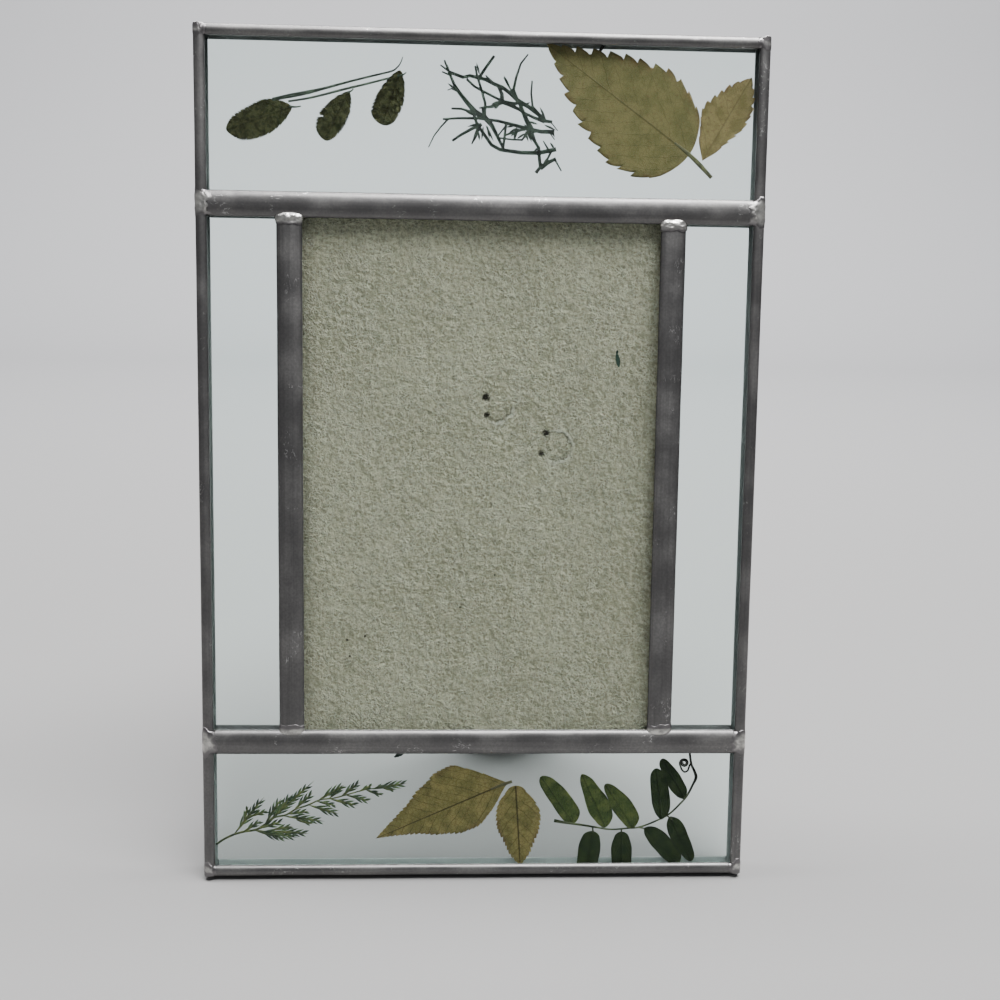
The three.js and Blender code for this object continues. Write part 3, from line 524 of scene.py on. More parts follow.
for px, pz, wide in PINHOLES:
    gap = at.gap(on_board(px, pz)) + (grain - 0.5) * (wide * 0.0012)
    tone = gap.rise(wide * 0.0005, wide * 0.0011).blend((0.025, 0.018, 0.012, 1), tone)
drive(shader, height=height, depth=0.0007, strength=0.9, Base_Color=tone)

bx, bz = np.meshgrid(np.linspace(-BOARD_HALF, BOARD_HALF, 169), np.linspace(PANE_LOW, PANE_HIGH, 241))
relief = 0.03 * ripple(np.random.default_rng(71), bx, bz, 30)
for rx, rz, top in RIVETS:
    gap = np.hypot(bx - rx, bz - rz)
    open_side = np.clip((bx - rx) / CREASE + 0.75, 0, 1) * np.clip((top - bz) / 2 + 0.5, 0, 1)
    relief += open_side * 0.16 * np.exp(-(((gap - CREASE) / 0.5) ** 2)) - 0.12 * np.exp(-((gap / 3) ** 4))
for px, pz, wide in PINHOLES:
    relief += 0.5 * wide * np.exp(-(((bx - px) ** 2 + (bz - pz) ** 2) / wide**2))
front = stand(np.stack([bx, BOARD_FRONT + np.clip(0.3 + relief, 0.02, 0.7), bz], -1))
rear = stand(np.stack([bx, np.full(bx.shape, BOARD_BACK), bz], -1))
sheet = np.stack([front, rear])
piece("backing_board_paper", sheet, slab(front), paper, cad="backing_board")

# Pressed leaves: picked, dried flat and laid between the panes in two layers.
# They are thin and only faintly wavy, with a midrib, fine side veins and teeth that point to the tip.
PANE = 2.3
LEAF_THICK = 0.25
TEAR_AT = 0.62
TEAR_HALF = 0.25
FRONT_LAYER = PANE + 0.1
BACK_LAYER = FRONT_LAYER + LEAF_THICK + 0.1


def stations(*widths):
    """A leaf's half width: a smooth curve (Catmull-Rom) through half widths at even stations."""
    w = np.array([2 * widths[0] - widths[1], *widths, 2 * widths[-1] - widths[-2]])

    def half(t):
        place = t * (len(widths) - 1)
        i = np.minimum(place.astype(int), len(widths) - 2)
        f = place - i
        p0, p1, p2, p3 = w[i], w[i + 1], w[i + 2], w[i + 3]
        bend = p0 - 2.5 * p1 + 2 * p2 - p3 / 2
        return p1 + f * (p2 - p0) / 2 + f**2 * bend + f**3 * (1.5 * (p1 - p2) + (p3 - p0) / 2)

    return half


def rounded(widths, base=0.0, tip=0.0):
    """A leaf's half width: a curve through stations, with a share at each end rounded like an ellipse."""
    curve = stations(*widths)

    def half(t):
        near = np.clip(1 - t / max(base, 1e-6), 0, 1)
        far = np.clip(1 - (1 - t) / max(tip, 1e-6), 0, 1)
        return curve(t) * np.sqrt((1 - near**2) * (1 - far**2))

    return half


def leaf(
    name, base, tip, left, right, layer, material,
    teeth=0, bite=0.0, bare=0.0, torn=0.0, seed=0, cad=None,
):
    """A leaf over (t, s): t along the midrib, s from -1 to 1 across it times the toothed half width.
    Teeth are bite deep and start after the bare share; a slit in the right edge is torn millimetres deep.
    The UV map holds distances along and across the midrib in metres; the margin attribute holds |s|."""
    rng = np.random.default_rng(seed + 100)
    base, tip = np.array(base, float), np.array(tip, float)
    length = np.linalg.norm(tip - base)
    ahead = (tip - base) / length
    out = np.array([-ahead[1], ahead[0]])
    t = (1 - np.cos(np.linspace(0, math.pi, max(60, teeth * 14))))[:, None] / 2
    s = np.linspace(-1, 1, 31)[None]
    count = t * (teeth + 0.6) + np.where(s > 0, 0.7, 0.45)
    phase = count % 1
    size = rng.uniform(0.65, 1.25, (2, teeth + 3))
    uneven = np.where(s > 0, size[0][count.astype(int)], size[1][count.astype(int)])
    saw = np.where(phase < 0.9, (phase / 0.9) ** 0.45, (1 - phase) / 0.1)
    fade = np.clip(5 * (1 - t), 0, 1) * np.clip((t - bare) * 12, 0, 1) * bite * uneven
    half = np.where(s > 0, left(t), right(t))
    edge = half * (1 + 0.02 * ripple(rng, t * length, 0 * t, 7))
    slit = torn * (s < 0) * np.exp(-(((t - TEAR_AT) * length / TEAR_HALF) ** 2))
    edge = np.maximum(edge - slit - np.minimum(fade, 0.4 * half) * (1 - saw), 0.04)
    along = t * length + np.abs(s) ** 6 * 0.7 * saw * fade
    across = s * edge
    flat = base + along[..., None] * ahead + across[..., None] * out
    ridge = np.exp(-((across / 0.3) ** 2))
    y = layer + 0.02 + np.clip(0.04 + 0.03 * ripple(rng, along, across, 6) + 0.03 * (1 - ridge), 0, 0.12)
    near = stand(np.stack([flat[..., 0], y, flat[..., 1]], -1))
    far = stand(np.stack([flat[..., 0], y + 0.1, flat[..., 1]], -1))
    uv = np.stack([along, across], -1) / 1000
    margin = np.broadcast_to(np.abs(s), along.shape)
    piece(name, np.stack([near, far]), slab(near)[:, ::-1], material,
          uv=np.stack([uv, uv]), margin=np.stack([margin, margin]), cad=cad)


def stem(name, points, thick, layer, material, cad=None):
    """A dry stalk: a flat ellipse carried along a smooth curve through points, its widths in order."""
    t = np.linspace(0, 1, 10 * len(points))
    x, z = (stations(*line)(t) for line in zip(*points))
    wide = np.interp(t, np.linspace(0, 1, len(thick)), thick) / 2
    ahead = np.gradient(np.stack([x, z], -1), axis=0)
    ahead /= np.linalg.norm(ahead, axis=1)[:, None]
    turn = np.linspace(0, 2 * math.pi, 15)[:-1]
    aside = wide[:, None] * np.cos(turn)
    y = layer + 0.12 + 0.1 * np.sin(turn) + 0 * aside
    grid = np.stack([x[:, None] - ahead[:, 1:] * aside, y, z[:, None] + ahead[:, :1] * aside], -1)
    piece(name, stand(grid), rings(grid), material, cad=cad)


def leaf_look(name, blade, patch, edge, vein, spacing, slant, strength=0.5, crinkle=0.4, blotch=0.007):
    """A dried leaf: blotches, specks, a margin, a midrib, slanting side veins and a fine net of veins."""
    made, shader, at, uv = look(name, Roughness=0.65, Specular_IOR_Level=0.12)
    along, aside = uv.part(0), uv.part(1)
    margin = at.node("ShaderNodeAttribute", {}, out=2, attribute_name="margin")
    wide = abs(aside)
    wander = (at.noise(0.005) - 0.5) * (spacing * 0.9) + aside.math("SIGN") * (spacing * 0.2)
    beat = ((along - slant * wide - 14.0 * wide * wide + wander) * (1 / spacing)).math("FRACT")
    ribs = ((0.5 - abs(beat - 0.5)) * spacing).rise(0.00004, 0.00022, 1, 0)
    ribs = ribs * at.noise(0.004, shift=6).rise(0.3, 0.6, 0.35, 1)
    midrib = (wide + 0.004 * along).rise(0.00012, 0.00036, 1, 0)
    cells = at.node("ShaderNodeTexVoronoi", {"Vector": at, "Scale": 1000}, feature="DISTANCE_TO_EDGE")
    net = cells.rise(0, 0.1, 1, 0)
    cloud = at.noise(blotch, detail=6, rough=0.6).rise(0.4, 0.6)
    speck = at.noise(0.0007, detail=3).rise(0.55, 0.7)
    tone = cloud.blend(blade, patch)
    tone = (speck * 0.5).blend(tone, edge)
    tone = (margin.rise(0.78, 1.0) * at.noise(0.005, shift=2).rise(0.4, 0.6) * 0.8).blend(tone, edge)
    tone = (net * (0.6 * strength)).blend(tone, vein)
    tone = (ribs * strength).blend(tone, vein)
    tone = (midrib * (1.4 * strength)).blend(tone, vein)
    height = 0.3 * net + 0.7 * ribs + midrib + crinkle * at.noise(0.0016, detail=3) + 0.4 * speck
    drive(shader, height=height, depth=0.00012, strength=0.6, Base_Color=tone)
    return made


oval_look = leaf_look(
    "oval_leaf", blade=(0.03, 0.032, 0.013, 1), patch=(0.07, 0.069, 0.03, 1),
    edge=(0.014, 0.015, 0.007, 1), vein=(0.014, 0.015, 0.006, 1),
    spacing=0.0021, slant=0.9, strength=0.25, crinkle=6, blotch=0.0013,
)
for i, (base, tip, torn, left, right) in enumerate((
    ((-47.5, 197.1), (-63.6, 191.2), 0,
     (1.3, 2.9, 4.1, 4.6, 4.4, 3.5, 2), (1.5, 3.2, 4.1, 4, 3.5, 2.7, 1.7)),
    ((-33.4, 201), (-39.4, 189.2), 1.3,
     (1.2, 2, 2.7, 2.9, 2.7, 2.1, 1.5), (1.2, 2.4, 3.4, 4.2, 4.3, 3.7, 3)),
    ((-20.8, 206.4), (-25.1, 193.2), 0,
     (1.2, 2.2, 3, 3.4, 3.3, 2.8, 2.4), (1.2, 2.3, 3.2, 3.8, 4.1, 3.9, 3.5)),
), 1):
    leaf(
        f"sprig_oval_leaflet_{i}_pressed", base, tip, rounded(left, 0.15, 0.2), rounded(right, 0.15, 0.2),
        BACK_LAYER, oval_look,
        teeth=30, bite=0.6, torn=torn, seed=i, cad=f"sprig_oval_leaflet_{i}",
    )

large_look = leaf_look(
    "large_leaf", blade=(0.23, 0.193, 0.081, 1), patch=(0.172, 0.155, 0.063, 1),
    edge=(0.19, 0.125, 0.056, 1), vein=(0.06, 0.055, 0.025, 1),
    spacing=0.0047, slant=1.25, strength=0.4, blotch=0.0035,
)
leaf(
    "leaf_large_pressed", (51.8, 187.6), (15.2, 213.8),
    rounded((9.5, 13.2, 13.9, 12.1, 8.9, 4.3, 0), 0.16), rounded((6.5, 12, 13.5, 11.5, 8.3, 3.9, 0), 0.1),
    FRONT_LAYER, large_look, teeth=12, bite=1.7, bare=0.06, seed=7, cad="leaf_large",
)
small_look = leaf_look(
    "small_leaf", blade=(0.3, 0.238, 0.104, 1), patch=(0.215, 0.17, 0.07, 1),
    edge=(0.18, 0.11, 0.048, 1), vein=(0.1, 0.075, 0.035, 1),
    spacing=0.0034, slant=0.9, strength=0.25, blotch=0.004,
)
leaf(
    "leaf_small_pressed", (55.2, 186.2), (67.1, 206.8),
    stations(0, 3.5, 5.8, 6.8, 5.3, 3.3, 0), stations(0, 2.1, 3.8, 4.9, 4.8, 3.1, 0),
    BACK_LAYER, small_look, teeth=11, bite=0.9, bare=0.15, seed=8, cad="leaf_small",
)
gold_look = leaf_look(
    "gold_leaf", blade=(0.262, 0.208, 0.073, 1), patch=(0.172, 0.149, 0.051, 1),
    edge=(0.155, 0.103, 0.041, 1), vein=(0.03, 0.023, 0.008, 1),
    spacing=0.0033, slant=1.1, strength=0.6, blotch=0.004,
)
leaf(
    "leaf_gold_lying_pressed", (7.9, 24.2), (-26.3, 9.2),
    stations(0.5, 5.6, 8.1, 7, 4.2, 1.9, 0), stations(0.5, 6.9, 10.5, 9.1, 5.9, 3, 0),
    FRONT_LAYER, gold_look, teeth=30, bite=0.5, seed=9, cad="leaf_gold_lying",
)
leaf(
    "leaf_gold_hanging_pressed", (10.6, 23.4), (12.2, 1.2),
    rounded((1.5, 4.6, 6.4, 5.8, 4.6, 2.8, 0), 0.03), rounded((1.5, 4.7, 6, 5.5, 4.2, 2.8, 0), 0.03),
    BACK_LAYER, gold_look, teeth=18, bite=0.65, seed=10, cad="leaf_gold_hanging",
)


def stem_look(name, fresh, dry):
    """A dried stem: streaks of two colours."""
    made, shader, at, _ = look(name, Roughness=0.6)
    streak = at.noise(0.0025, detail=5).rise(0.38, 0.62)
    drive(shader, height=at.noise(0.0004), depth=0.00006, Base_Color=streak.blend(fresh, dry))
    return made


STALK_LAYER = FRONT_LAYER - 0.06
stalk_olive = stem_look("stalk_olive", (0.13, 0.13, 0.055, 1), (0.075, 0.07, 0.03, 1))
stalk_gold = stem_look("stalk_gold", (0.12, 0.115, 0.04, 1), (0.08, 0.07, 0.025, 1))
stem(
    "leaf_large_stalk", ((48, 190.4), (51.6, 187.7), (54.4, 185.2), (57.6, 182)), (0.5, 1.0, 1.2, 0.9),
    STALK_LAYER, stalk_olive,
)
stem(
    "leaf_gold_stalk", ((4, 22.6), (7, 23.8), (9.6, 24.7)), (0.5, 0.9, 0.8),
    STALK_LAYER, stalk_gold,
)

# Leaf crumbs: bits broken off the dry leaves when the frame was put together.
# Two green chips are caught between the window pane and the board, two dark ones lie at the lower bar.
WINDOW_LAYER = PANE + 0.5
chip_look = stem_look("leaf_chip", (0.02, 0.055, 0.035, 1), (0.008, 0.02, 0.014, 1))
for name, base, tip, wide, layer in (
    ("leaf_chip_green", (35.4, 134.2), (34.8, 137.6), 0.6, WINDOW_LAYER),
    ("leaf_chip_green_small", (34.7, 137.4), (35.0, 138.5), 0.35, WINDOW_LAYER),
    ("leaf_chip_dark", (-21.6, 31.4), (-18.9, 32.7), 0.55, FRONT_LAYER),
    ("leaf_chip_dark_small", (-19.8, 31.5), (-20.5, 33), 0.35, BACK_LAYER),
):
    shape = rounded((wide,) * 3, 0.5, 0.5)
    leaf(name, base, tip, shape, shape, layer, chip_look, teeth=3, bite=0.2, seed=len(name))

# Vetch sprig: smooth dark green leaflets in pairs along a thin stalk that ends in a coiled tendril.
# Pressed whole; the two lower leaflets are cut by the edge strip and the first three have faded to olive.
fresh_look = leaf_look(
    "green_leaf", blade=(0.105, 0.13, 0.035, 1), patch=(0.052, 0.076, 0.021, 1),
    edge=(0.014, 0.022, 0.007, 1), vein=(0.012, 0.02, 0.006, 1),
    spacing=0.0016, slant=2.2, strength=0.3, blotch=0.003,
)
deep_look = leaf_look(
    "green_leaf_deep", blade=(0.014, 0.027, 0.008, 1), patch=(0.027, 0.044, 0.013, 1),
    edge=(0.008, 0.014, 0.005, 1), vein=(0.006, 0.01, 0.003, 1),
    spacing=0.0016, slant=2.2, strength=0.3, blotch=0.003,
)
FADED = (1, 2, 3)
CUT = (4, 5)
for i, (base, tip, layer, left, right) in enumerate((
    ((26.3, 12.8), (17.3, 25.9), BACK_LAYER,
     (1.4, 1.7, 1.9, 1.8, 1.8, 1.6, 1.3), (2.6, 3.4, 3.6, 3.5, 3.2, 2.4, 1.6)),
    ((34.8, 11.8), (28.2, 26.5), BACK_LAYER,
     (1.2, 1.7, 2.4, 2.2, 1.8, 1.4, 1), (2.2, 3.2, 3.7, 3.5, 2.8, 2.1, 1.2)),
    ((42.1, 11.6), (34.5, 23.9), FRONT_LAYER,
     (1, 1.4, 1.8, 2, 1.6, 1.3, 1.1), (2.4, 3.3, 3.6, 3.5, 2.9, 2.1, 1.4)),
    ((31.5, 10.8), (30.2, 1.2), BACK_LAYER,
     (1.6, 2.1, 2.6, 2.8, 2.8, 2.7, 2.6), (1.8, 2.5, 3, 3.2, 3.1, 3, 2.9)),
    ((39.2, 10.6), (39.5, 1.2), BACK_LAYER,
     (1.6, 2, 2.4, 2.7, 2.7, 2.6, 2.6), (1.6, 2, 2.5, 2.8, 2.8, 2.7, 2.6)),
    ((49.8, 14.1), (48, 28.2), FRONT_LAYER,
     (0.8, 1.6, 2.1, 2.1, 2, 1.8, 1.5), (1.2, 2.4, 2.9, 2.9, 2.6, 2, 1.5)),
    ((56, 19.7), (49.5, 30.7), BACK_LAYER,
     (1, 1.7, 2.2, 2.1, 1.9, 1.6, 1.4), (0.9, 1.8, 2, 2.1, 1.8, 1.3, 1)),
    ((45.4, 11.8), (54.6, 1.6), FRONT_LAYER,
     (1.4, 2.4, 3.1, 3.1, 3, 2.7, 2.4), (1, 1.5, 1.9, 1.9, 1.9, 1.6, 1.2)),
    ((52.1, 14.7), (58.3, 2.3), BACK_LAYER,
     (1, 2.1, 2.5, 2.3, 2.1, 1.8, 1.6), (1, 1.9, 2.4, 2.4, 2, 1.5, 1.2)),
), 1):
    blunt = 0.0 if i in CUT else 0.16
    leaf(
        f"sprig_vetch_leaflet_{i}_pressed", base, tip,
        rounded(left, 0.14, blunt), rounded(right, 0.14, blunt),
        layer, fresh_look if i in FADED else deep_look,
        seed=20 + i, cad=f"sprig_vetch_leaflet_{i}",
    )


def vetch_stem():
    """The vetch stalk: pale grey-green, turning nearly black up its hooked end and tendril."""
    made, shader, at, _ = look("vetch_stem", Roughness=0.6, Specular_IOR_Level=0.12)
    streak = at.noise(0.0025, detail=5).rise(0.38, 0.62)
    green = streak.blend((0.1, 0.12, 0.06, 1), (0.03, 0.042, 0.018, 1))
    drive(shader, Base_Color=at.part(2).rise(0.018, 0.024).blend(green, (0.01, 0.01, 0.006, 1)))
    return made


vetch_look = vetch_stem()
VETCH_LAYER = FRONT_LAYER + 0.2
stem(
    "sprig_vetch_stalk_dried",
    (
        (21, 13.8), (24.2, 13.2), (28.3, 12.6), (32.9, 11.8), (36.4, 11.3), (40.6, 11.6),
        (44.3, 12), (49.4, 14.1), (52.1, 15.7), (54.7, 18.3), (56.5, 20.5), (58, 23.6),
        (58.8, 25.6), (58.3, 27.4), (57.4, 29.4), (56.8, 33),
    ),
    (0.95, 0.7, 0.6, 0.5, 0.48, 0.48, 0.48, 0.48, 0.5, 0.52, 0.56, 0.62, 0.85, 0.72, 0.62, 0.6),
    VETCH_LAYER, vetch_look, cad="sprig_vetch_stalk",
)
for i, ends in enumerate((
    ((31.4, 12), (31.5, 10.4)),
    ((39.1, 11.5), (39.2, 10.2)),
    ((44.0, 11.8), (45.9, 11.4)),
    ((51.4, 15.0), (52.7, 14.0)),
), 1):
    stem(f"sprig_vetch_stub_{i}", ends, (0.45, 0.4), VETCH_LAYER, vetch_look)

# The tendril is a spiral that winds inwards, with one loop that stands out and a free start.
COIL = (55.5, 29.6)
TURNS = 2.6
wind = np.linspace(0, 2 * math.pi * TURNS, 44)
reach = 0.3 + 1.1 * (1 - wind / wind[-1])
reach += 1.2 * np.exp(-(((wind - 1.4) / 0.6) ** 2)) + 0.5 * np.exp(-wind * 3)
coil = np.stack([COIL[0] + reach * np.cos(wind), COIL[1] - reach * np.sin(wind)], -1)
stem("sprig_vetch_tendril", coil.tolist(), (0.5, 0.42, 0.36), VETCH_LAYER, vetch_look)

# Stalk end, stems, thread-like tangle and feathery sprig: thin dry growth, pressed flat between the panes.
# Stems and small blades follow their own curves; the stalk end and the main threads are their flat solids,
# rebuilt in fine even cells and smoothed, so that their edges are round.
CELL = 0.00009


def merged(node, name, body, material):
    """A copy of a solid with its loose triangles joined, as a new piece that takes its place."""
    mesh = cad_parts[node].data.copy()
    mesh.name = name
    work = bmesh.new()
    work.from_mesh(mesh)
    bmesh.ops.remove_doubles(work, verts=work.verts, dist=1e-7)
    work.to_mesh(mesh)
    work.free()
    mesh.materials.clear()
    mesh.materials.append(material)
    made = bpy.data.objects.new(name, mesh)
    bpy.context.collection.objects.link(made)
    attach(made, body)
    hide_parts(node)
    return made


def softened(node, grain, rounds, material):
    """A merged copy rebuilt as cells of one grain and smoothed, so that its edges are round."""
    made = merged(node, node + "_dried", "frame", material)
    rebuild = made.modifiers.new("cells", "REMESH")
    rebuild.mode = "VOXEL"
    rebuild.voxel_size = grain
    rebuild.use_smooth_shade = True
    soften = made.modifiers.new("soften", "SMOOTH")
    soften.iterations = rounds


def blades(name, roots, tips, wide, slot, material):
    """Many small blades in one mesh: flat lenses as wide as sin(pi t)^0.7, drawn in towards the tip."""
    roots, tips = np.array(roots, float), np.array(tips, float)
    t = np.linspace(0, 1, 9)[None, :, None]
    s = np.linspace(-1, 1, 5)[None, None]
    ahead = tips - roots
    unit = ahead / np.linalg.norm(ahead, axis=1)[:, None]
    aside = s * (wide * (0.12 + 0.88 * np.sin(math.pi * t) ** 0.7) * (1 - 0.9 * t**6))
    x = roots[:, None, None, 0] + ahead[:, None, None, 0] * t - unit[:, None, None, 1] * aside
    z = roots[:, None, None, 1] + ahead[:, None, None, 1] * t + unit[:, None, None, 0] * aside
    puff = 0.1 * (1 - s**2) + 0 * x
    layers = np.arange(len(roots))[:, None, None] % 5 * 0.02
    near = np.stack([x, FRONT_LAYER + 0.02 + layers + 0.1 - puff, z], -1)
    far = np.stack([x, FRONT_LAYER + 0.04 + layers + 0.1 + 0.5 * puff, z], -1)
    step = 2 * t.size * s.size * np.arange(len(roots))[:, None, None]
    faces = (slab(near[0])[:, ::-1][None] + step).reshape(-1, 4)
    piece(name, stand(np.stack([near, far], 1)), faces, material)


stalk_dark = stem_look("stalk_end", (0.02, 0.016, 0.01, 1), (0.012, 0.01, 0.006, 1))
softened("stalk_end", CELL, 3, stalk_dark)
oval_green = stem_look("oval_stem", (0.05, 0.075, 0.045, 1), (0.025, 0.038, 0.024, 1))
stem(
    "sprig_oval_stem_upper",
    (
        (-52.2, 198.7), (-47.6, 199.7), (-43.4, 200.6), (-39.2, 201.7), (-32.9, 203.5),
        (-27.2, 205), (-23, 206.1), (-21.6, 207), (-20.7, 208.2), (-20.2, 209.6),
    ),
    (0.8, 1.1, 1.0, 0.65, 0.55, 0.5, 0.45, 0.36, 0.28, 0.2),
    FRONT_LAYER, oval_green, cad="sprig_oval_stems",
)
for i, (points, thick) in enumerate((
    (((-48.3, 198.3), (-42.4, 199.4), (-34.3, 201.6), (-30, 202.7), (-23.3, 204.5)), (0.5, 0.6, 0.5)),
    (((-48, 197.1), (-46.6, 197), (-45.2, 197.2)), (0.6, 0.42, 0.3)),
    (((-33.8, 200.8), (-32.9, 201.1), (-32.3, 201.7)), (0.5, 0.4, 0.3)),
    (((-21.5, 205), (-20.2, 205.3), (-19.3, 205.9)), (0.5, 0.4, 0.3)),
), 1):
    stem(f"sprig_oval_stem_{i}", points, thick, FRONT_LAYER, oval_green)

thread_look = stem_look("thread_leaf", (0.034, 0.055, 0.036, 1), (0.012, 0.02, 0.014, 1))
softened("sprig_threads", CELL, 2, thread_look)
# A twig is given by its root and its tip.
TWIGS = (
    ((6.5, 202.7), (4.8, 205.8)), ((15.3, 195.7), (13.9, 198.4)), ((11.0, 192.8), (9.5, 189.9)),
    ((6.8, 191.1), (8.5, 192.9)), ((12.9, 190.8), (11.6, 193.0)), ((15.1, 194.1), (18.1, 192.8)),
    ((16.8, 192.9), (17.8, 191.1)), ((14.6, 195.1), (13.0, 197.5)), ((-1.2, 192.5), (-2.7, 189.2)),
    ((-0.1, 193.4), (-0.5, 190.0)), ((0.9, 193.5), (1.5, 190.4)), ((-2.3, 195.9), (-4.8, 197.1)),
    ((-1.0, 194.1), (-4.1, 193.2)), ((-7.1, 203.3), (-5.8, 200.6)), ((-7.1, 202.2), (-9.1, 203.6)),
    ((-8.6, 206.6), (-10.1, 209.0)), ((15.5, 183.7), (13.7, 185.3)), ((14.8, 183.7), (16.0, 186.2)),
    ((16.7, 189.8), (17.8, 188.2)), ((-1.2, 205.9), (-2.0, 208.7)), ((10.0, 198.6), (11.5, 199.5)),
    ((4.0, 199.6), (1.7, 198.7)), ((5.0, 188.2), (3.9, 189.7)), ((12.5, 187.2), (13.7, 188.7)),
    ((5.7, 193.3), (8.2, 193.9)), ((6.3, 191.9), (8.6, 193.4)), ((5.6, 191.6), (7.7, 192.0)),
    ((8.2, 193.4), (7.5, 190.6)), ((8.4, 190.6), (10.4, 192.0)), ((10.4, 192.4), (11.2, 189.9)),
    ((11.0, 192.0), (12.1, 189.8)), ((12.5, 191.7), (12.9, 189.8)), ((11.8, 194.8), (10.4, 190.6)),
    ((10.0, 194.1), (12.7, 191.9)), ((7.5, 193.0), (10.6, 192.5)), ((13.4, 194.2), (11.0, 194.9)),
    ((12.2, 192.1), (14.1, 192.8)), ((-0.4, 198.2), (-0.2, 196.1)), ((0.5, 193.7), (2.5, 189.8)),
    ((-1.3, 192.1), (-1.0, 189.9)), ((3.1, 199.1), (2.7, 197.5)), ((4.0, 199.5), (3.0, 197.6)),
    ((-1.6, 193.1), (-2.8, 188.9)), ((16.9, 187.4), (14.7, 183.4)),
)
blades("sprig_threads_twigs", *zip(*TWIGS), 0.28, "thread_leaf", thread_look)

feather_look = stem_look("feathery_leaf", (0.115, 0.135, 0.035, 1), (0.035, 0.055, 0.018, 1))
lobe_look = stem_look("feathery_lobe", (0.068, 0.116, 0.038, 1), (0.018, 0.038, 0.016, 1))
stem(
    "sprig_feathery_axis",
    (
        (-68.2, 7.7), (-66.4, 9), (-63.8, 10.3), (-61.2, 11.1), (-57.8, 11.7), (-55.6, 13), (-52.9, 15),
        (-49.9, 15.7), (-47.3, 17.3), (-44.3, 18.3), (-40.9, 19.8), (-37.5, 20.2), (-33.8, 21.2),
        (-29.2, 22.5), (-24.7, 23.1),
    ),
    (0.6, 0.6, 0.5, 0.4, 0.3),
    FRONT_LAYER + 0.1, feather_look, cad="sprig_feathery",
)
# A frond is given by its root and its tip; its lobes stand along it to left and right in turn.
FRONDS = np.array((
    (-63.6, 10.4, -55.5, 20.8), (-61, 14, -59.8, 18.1), (-59.7, 15.2, -54.6, 16.9),
    (-61.2, 11.1, -56.3, 14.2), (-55.5, 13.1, -51, 20.4), (-53.1, 14.8, -48.4, 21.2),
    (-55.6, 13, -42.4, 25.1), (-48, 16.9, -42.8, 21.8), (-58.2, 11.5, -50.3, 9.3),
    (-57.8, 11.6, -46.6, 9.4), (-53.7, 11.3, -43.9, 10.6), (-57.5, 11.9, -50.7, 14),
    (-53.7, 11.6, -48.1, 12.6), (-50.7, 15.4, -39.8, 13.9), (-49.5, 15.9, -43.9, 16.7),
    (-47.3, 14.4, -42.8, 13.2), (-44, 18.4, -36, 15.9), (-41.8, 19.4, -36.8, 18.2),
    (-41.6, 19.6, -34.5, 23.9), (-38.6, 20.2, -34.9, 23.3), (-35.6, 20.6, -30.6, 24.6),
    (-38.3, 20, -31.1, 18.2), (-34.2, 21.1, -27.9, 19.4), (-30.8, 22, -27.2, 23.8),
    (-29, 22.5, -24.5, 20.9), (-27, 22.7, -24, 23.9), (-24.7, 23.1, -21.5, 22.3),
    (-27, 22.7, -18.1, 24.3),
))
LOBE_STEP = 1.25
LOBE_TURN = 0.36
blades("sprig_feathery_fronds", FRONDS[:, :2], FRONDS[:, 2:], 0.38, "feathery_leaf", feather_look)
roots, tips = [], []
for frond in FRONDS:
    base, run = frond[:2], frond[2:] - frond[:2]
    length = np.hypot(*run)
    count = int(length / LOBE_STEP)
    share = 0.15 + 0.67 * (np.arange(count) + 0.5) / count
    turn = math.atan2(run[1], run[0]) + LOBE_TURN * (-1.0) ** np.arange(count)
    reach = np.clip(0.46 * length, 1.6, 3.6) * (1.25 - 0.75 * share)
    start = base + share[:, None] * run
    roots += list(start)
    tips += list(start + reach[:, None] * np.stack([np.cos(turn), np.sin(turn)], -1))
blades("sprig_feathery_lobes", roots, tips, 0.28, "feathery_leaf", lobe_look)

# Easel leg and hinge behind the board: a paper-covered card leg on a plain pressed steel hinge.
# The card's edges are wrapped round, and the steel's edges are barely broken.
cover, shader, at, _ = look("leg_paper", Roughness=0.85)
weave = at.noise(0.0008, detail=4)
shade = weave.rise(0.35, 0.65).blend((0.10, 0.095, 0.085, 1), (0.16, 0.15, 0.13, 1))
drive(shader, height=weave, depth=0.0002, strength=0.5, Base_Color=shade)
steel, shader, at, _ = look("hinge_steel", Base_Color=(0.55, 0.55, 0.56, 1), Metallic=1.0)
drive(shader, Roughness=at.noise(0.003, stretch=(0.1, 1, 1)).rise(0.3, 0.7, 0.28, 0.5))
for node, slot, body, material, ease in (
    ("leg_board", "leg_paper", "leg", cover, 0.0004),
    ("leg_strap", "hinge_steel", "leg", steel, 0.0001),
    ("hinge_plate", "hinge_steel", "frame", steel, 0.0001),
):
    made = merged(node, node + "_eased", body, material)
    rounding = made.modifiers.new("edges", "BEVEL")
    rounding.width = ease
    rounding.segments = 3
    rounding.angle_limit = math.radians(40)
    made.data.shade_smooth()
    rounding.harden_normals = True

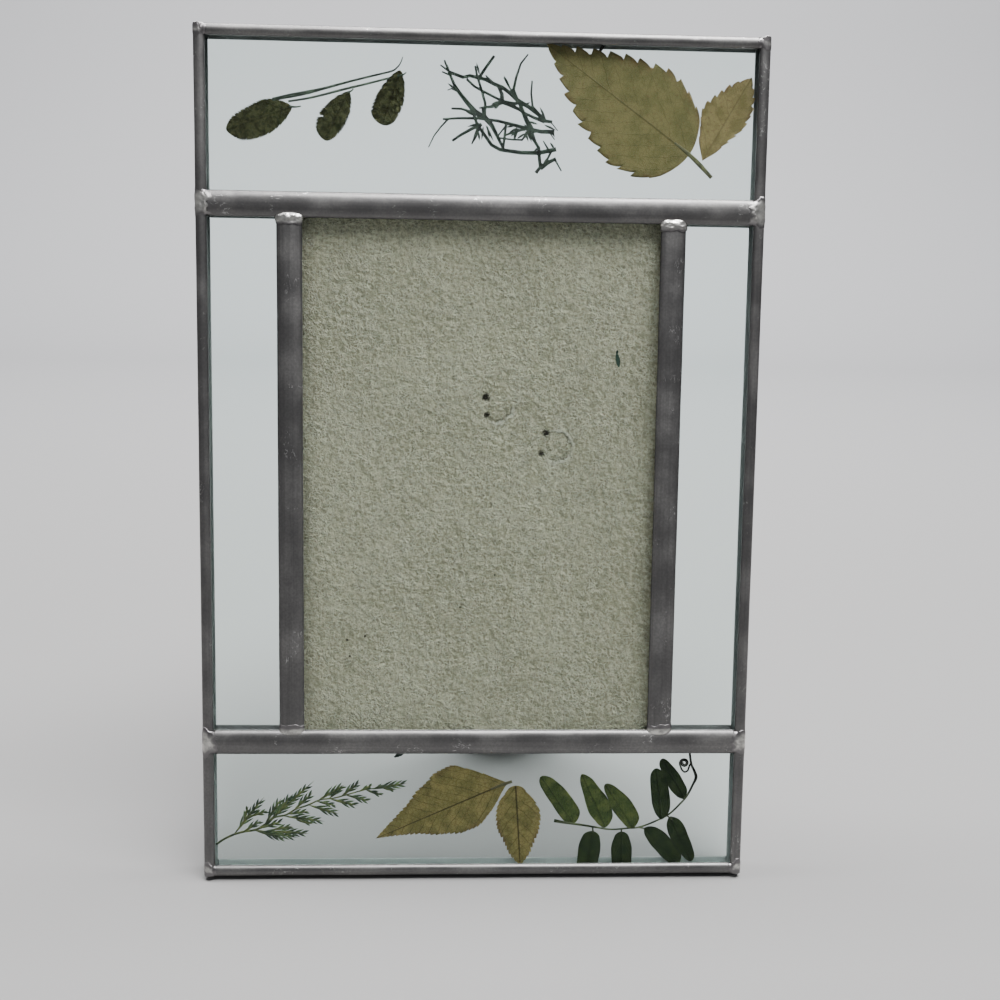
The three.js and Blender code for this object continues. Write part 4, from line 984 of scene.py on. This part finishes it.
# Studio: a plain pale floor that sweeps up into a pale wall behind, in one smooth sheet.
# A long soft light hangs above and in front, another lights the wall, and dim light comes from all sides.
SWEEP_BACK = 1.0
SWEEP_BEND = 0.3
FLOOR_REACH = 6.0
WALL_TOP = 1.8
turn = np.linspace(0, math.pi / 2, 17)
bend = np.stack([SWEEP_BACK - SWEEP_BEND * (1 - np.sin(turn)), SWEEP_BEND * (1 - np.cos(turn))], -1)
profile = np.vstack([[[-FLOOR_REACH, 0]], bend, [[SWEEP_BACK, WALL_TOP]]])
edge = np.column_stack([np.full(len(profile), FLOOR_REACH), profile])
sweep = np.stack([edge * [-1, 1, 1], edge], 1)
rows = np.arange(len(profile) - 1) * 2
floor_mesh = bpy.data.meshes.new("floor")
strips = np.stack([rows, rows + 1, rows + 3, rows + 2], -1)
floor_mesh.from_pydata(sweep.reshape(-1, 3).tolist(), [], strips.tolist())
floor_mesh.polygons.foreach_set("use_smooth", np.ones(len(rows), bool))
floor = bpy.data.objects.new("floor", floor_mesh)
bpy.context.collection.objects.link(floor)
pale, shader, at, _ = look("pale", Roughness=0.9)
behind = at.part(1).rise(0.1, 0.95)
drive(shader, Base_Color=behind.blend((0.18, 0.178, 0.177, 1), (0.335, 0.335, 0.345, 1)))
floor_mesh.materials.append(pale)


def soft_light(name, place, aim, size, power):
    """A rectangular soft light at a place, turned to a point."""
    data = bpy.data.lights.new(name, "AREA")
    data.shape = "RECTANGLE"
    data.size, data.size_y = size
    data.energy = power
    lamp = bpy.data.objects.new(name, data)
    lamp.location = place
    lamp.rotation_euler = (Vector(aim) - Vector(place)).to_track_quat("-Z", "Y").to_euler()
    bpy.context.collection.objects.link(lamp)


soft_light("overhead", (0.22, -0.3, 1.1), (0, 0, 0.12), (0.8, 0.25), 36)
soft_light("wall_glow", (0, 0.12, 0.75), (0, 0.34, 0.35), (1.2, 0.2), 25)
world = bpy.data.worlds.new("studio")
bpy.context.scene.world = world
world.use_nodes = True
world.node_tree.nodes["Background"].inputs["Color"].default_value = (0.95, 0.97, 1.0, 1)
world.node_tree.nodes["Background"].inputs["Strength"].default_value = 0.3
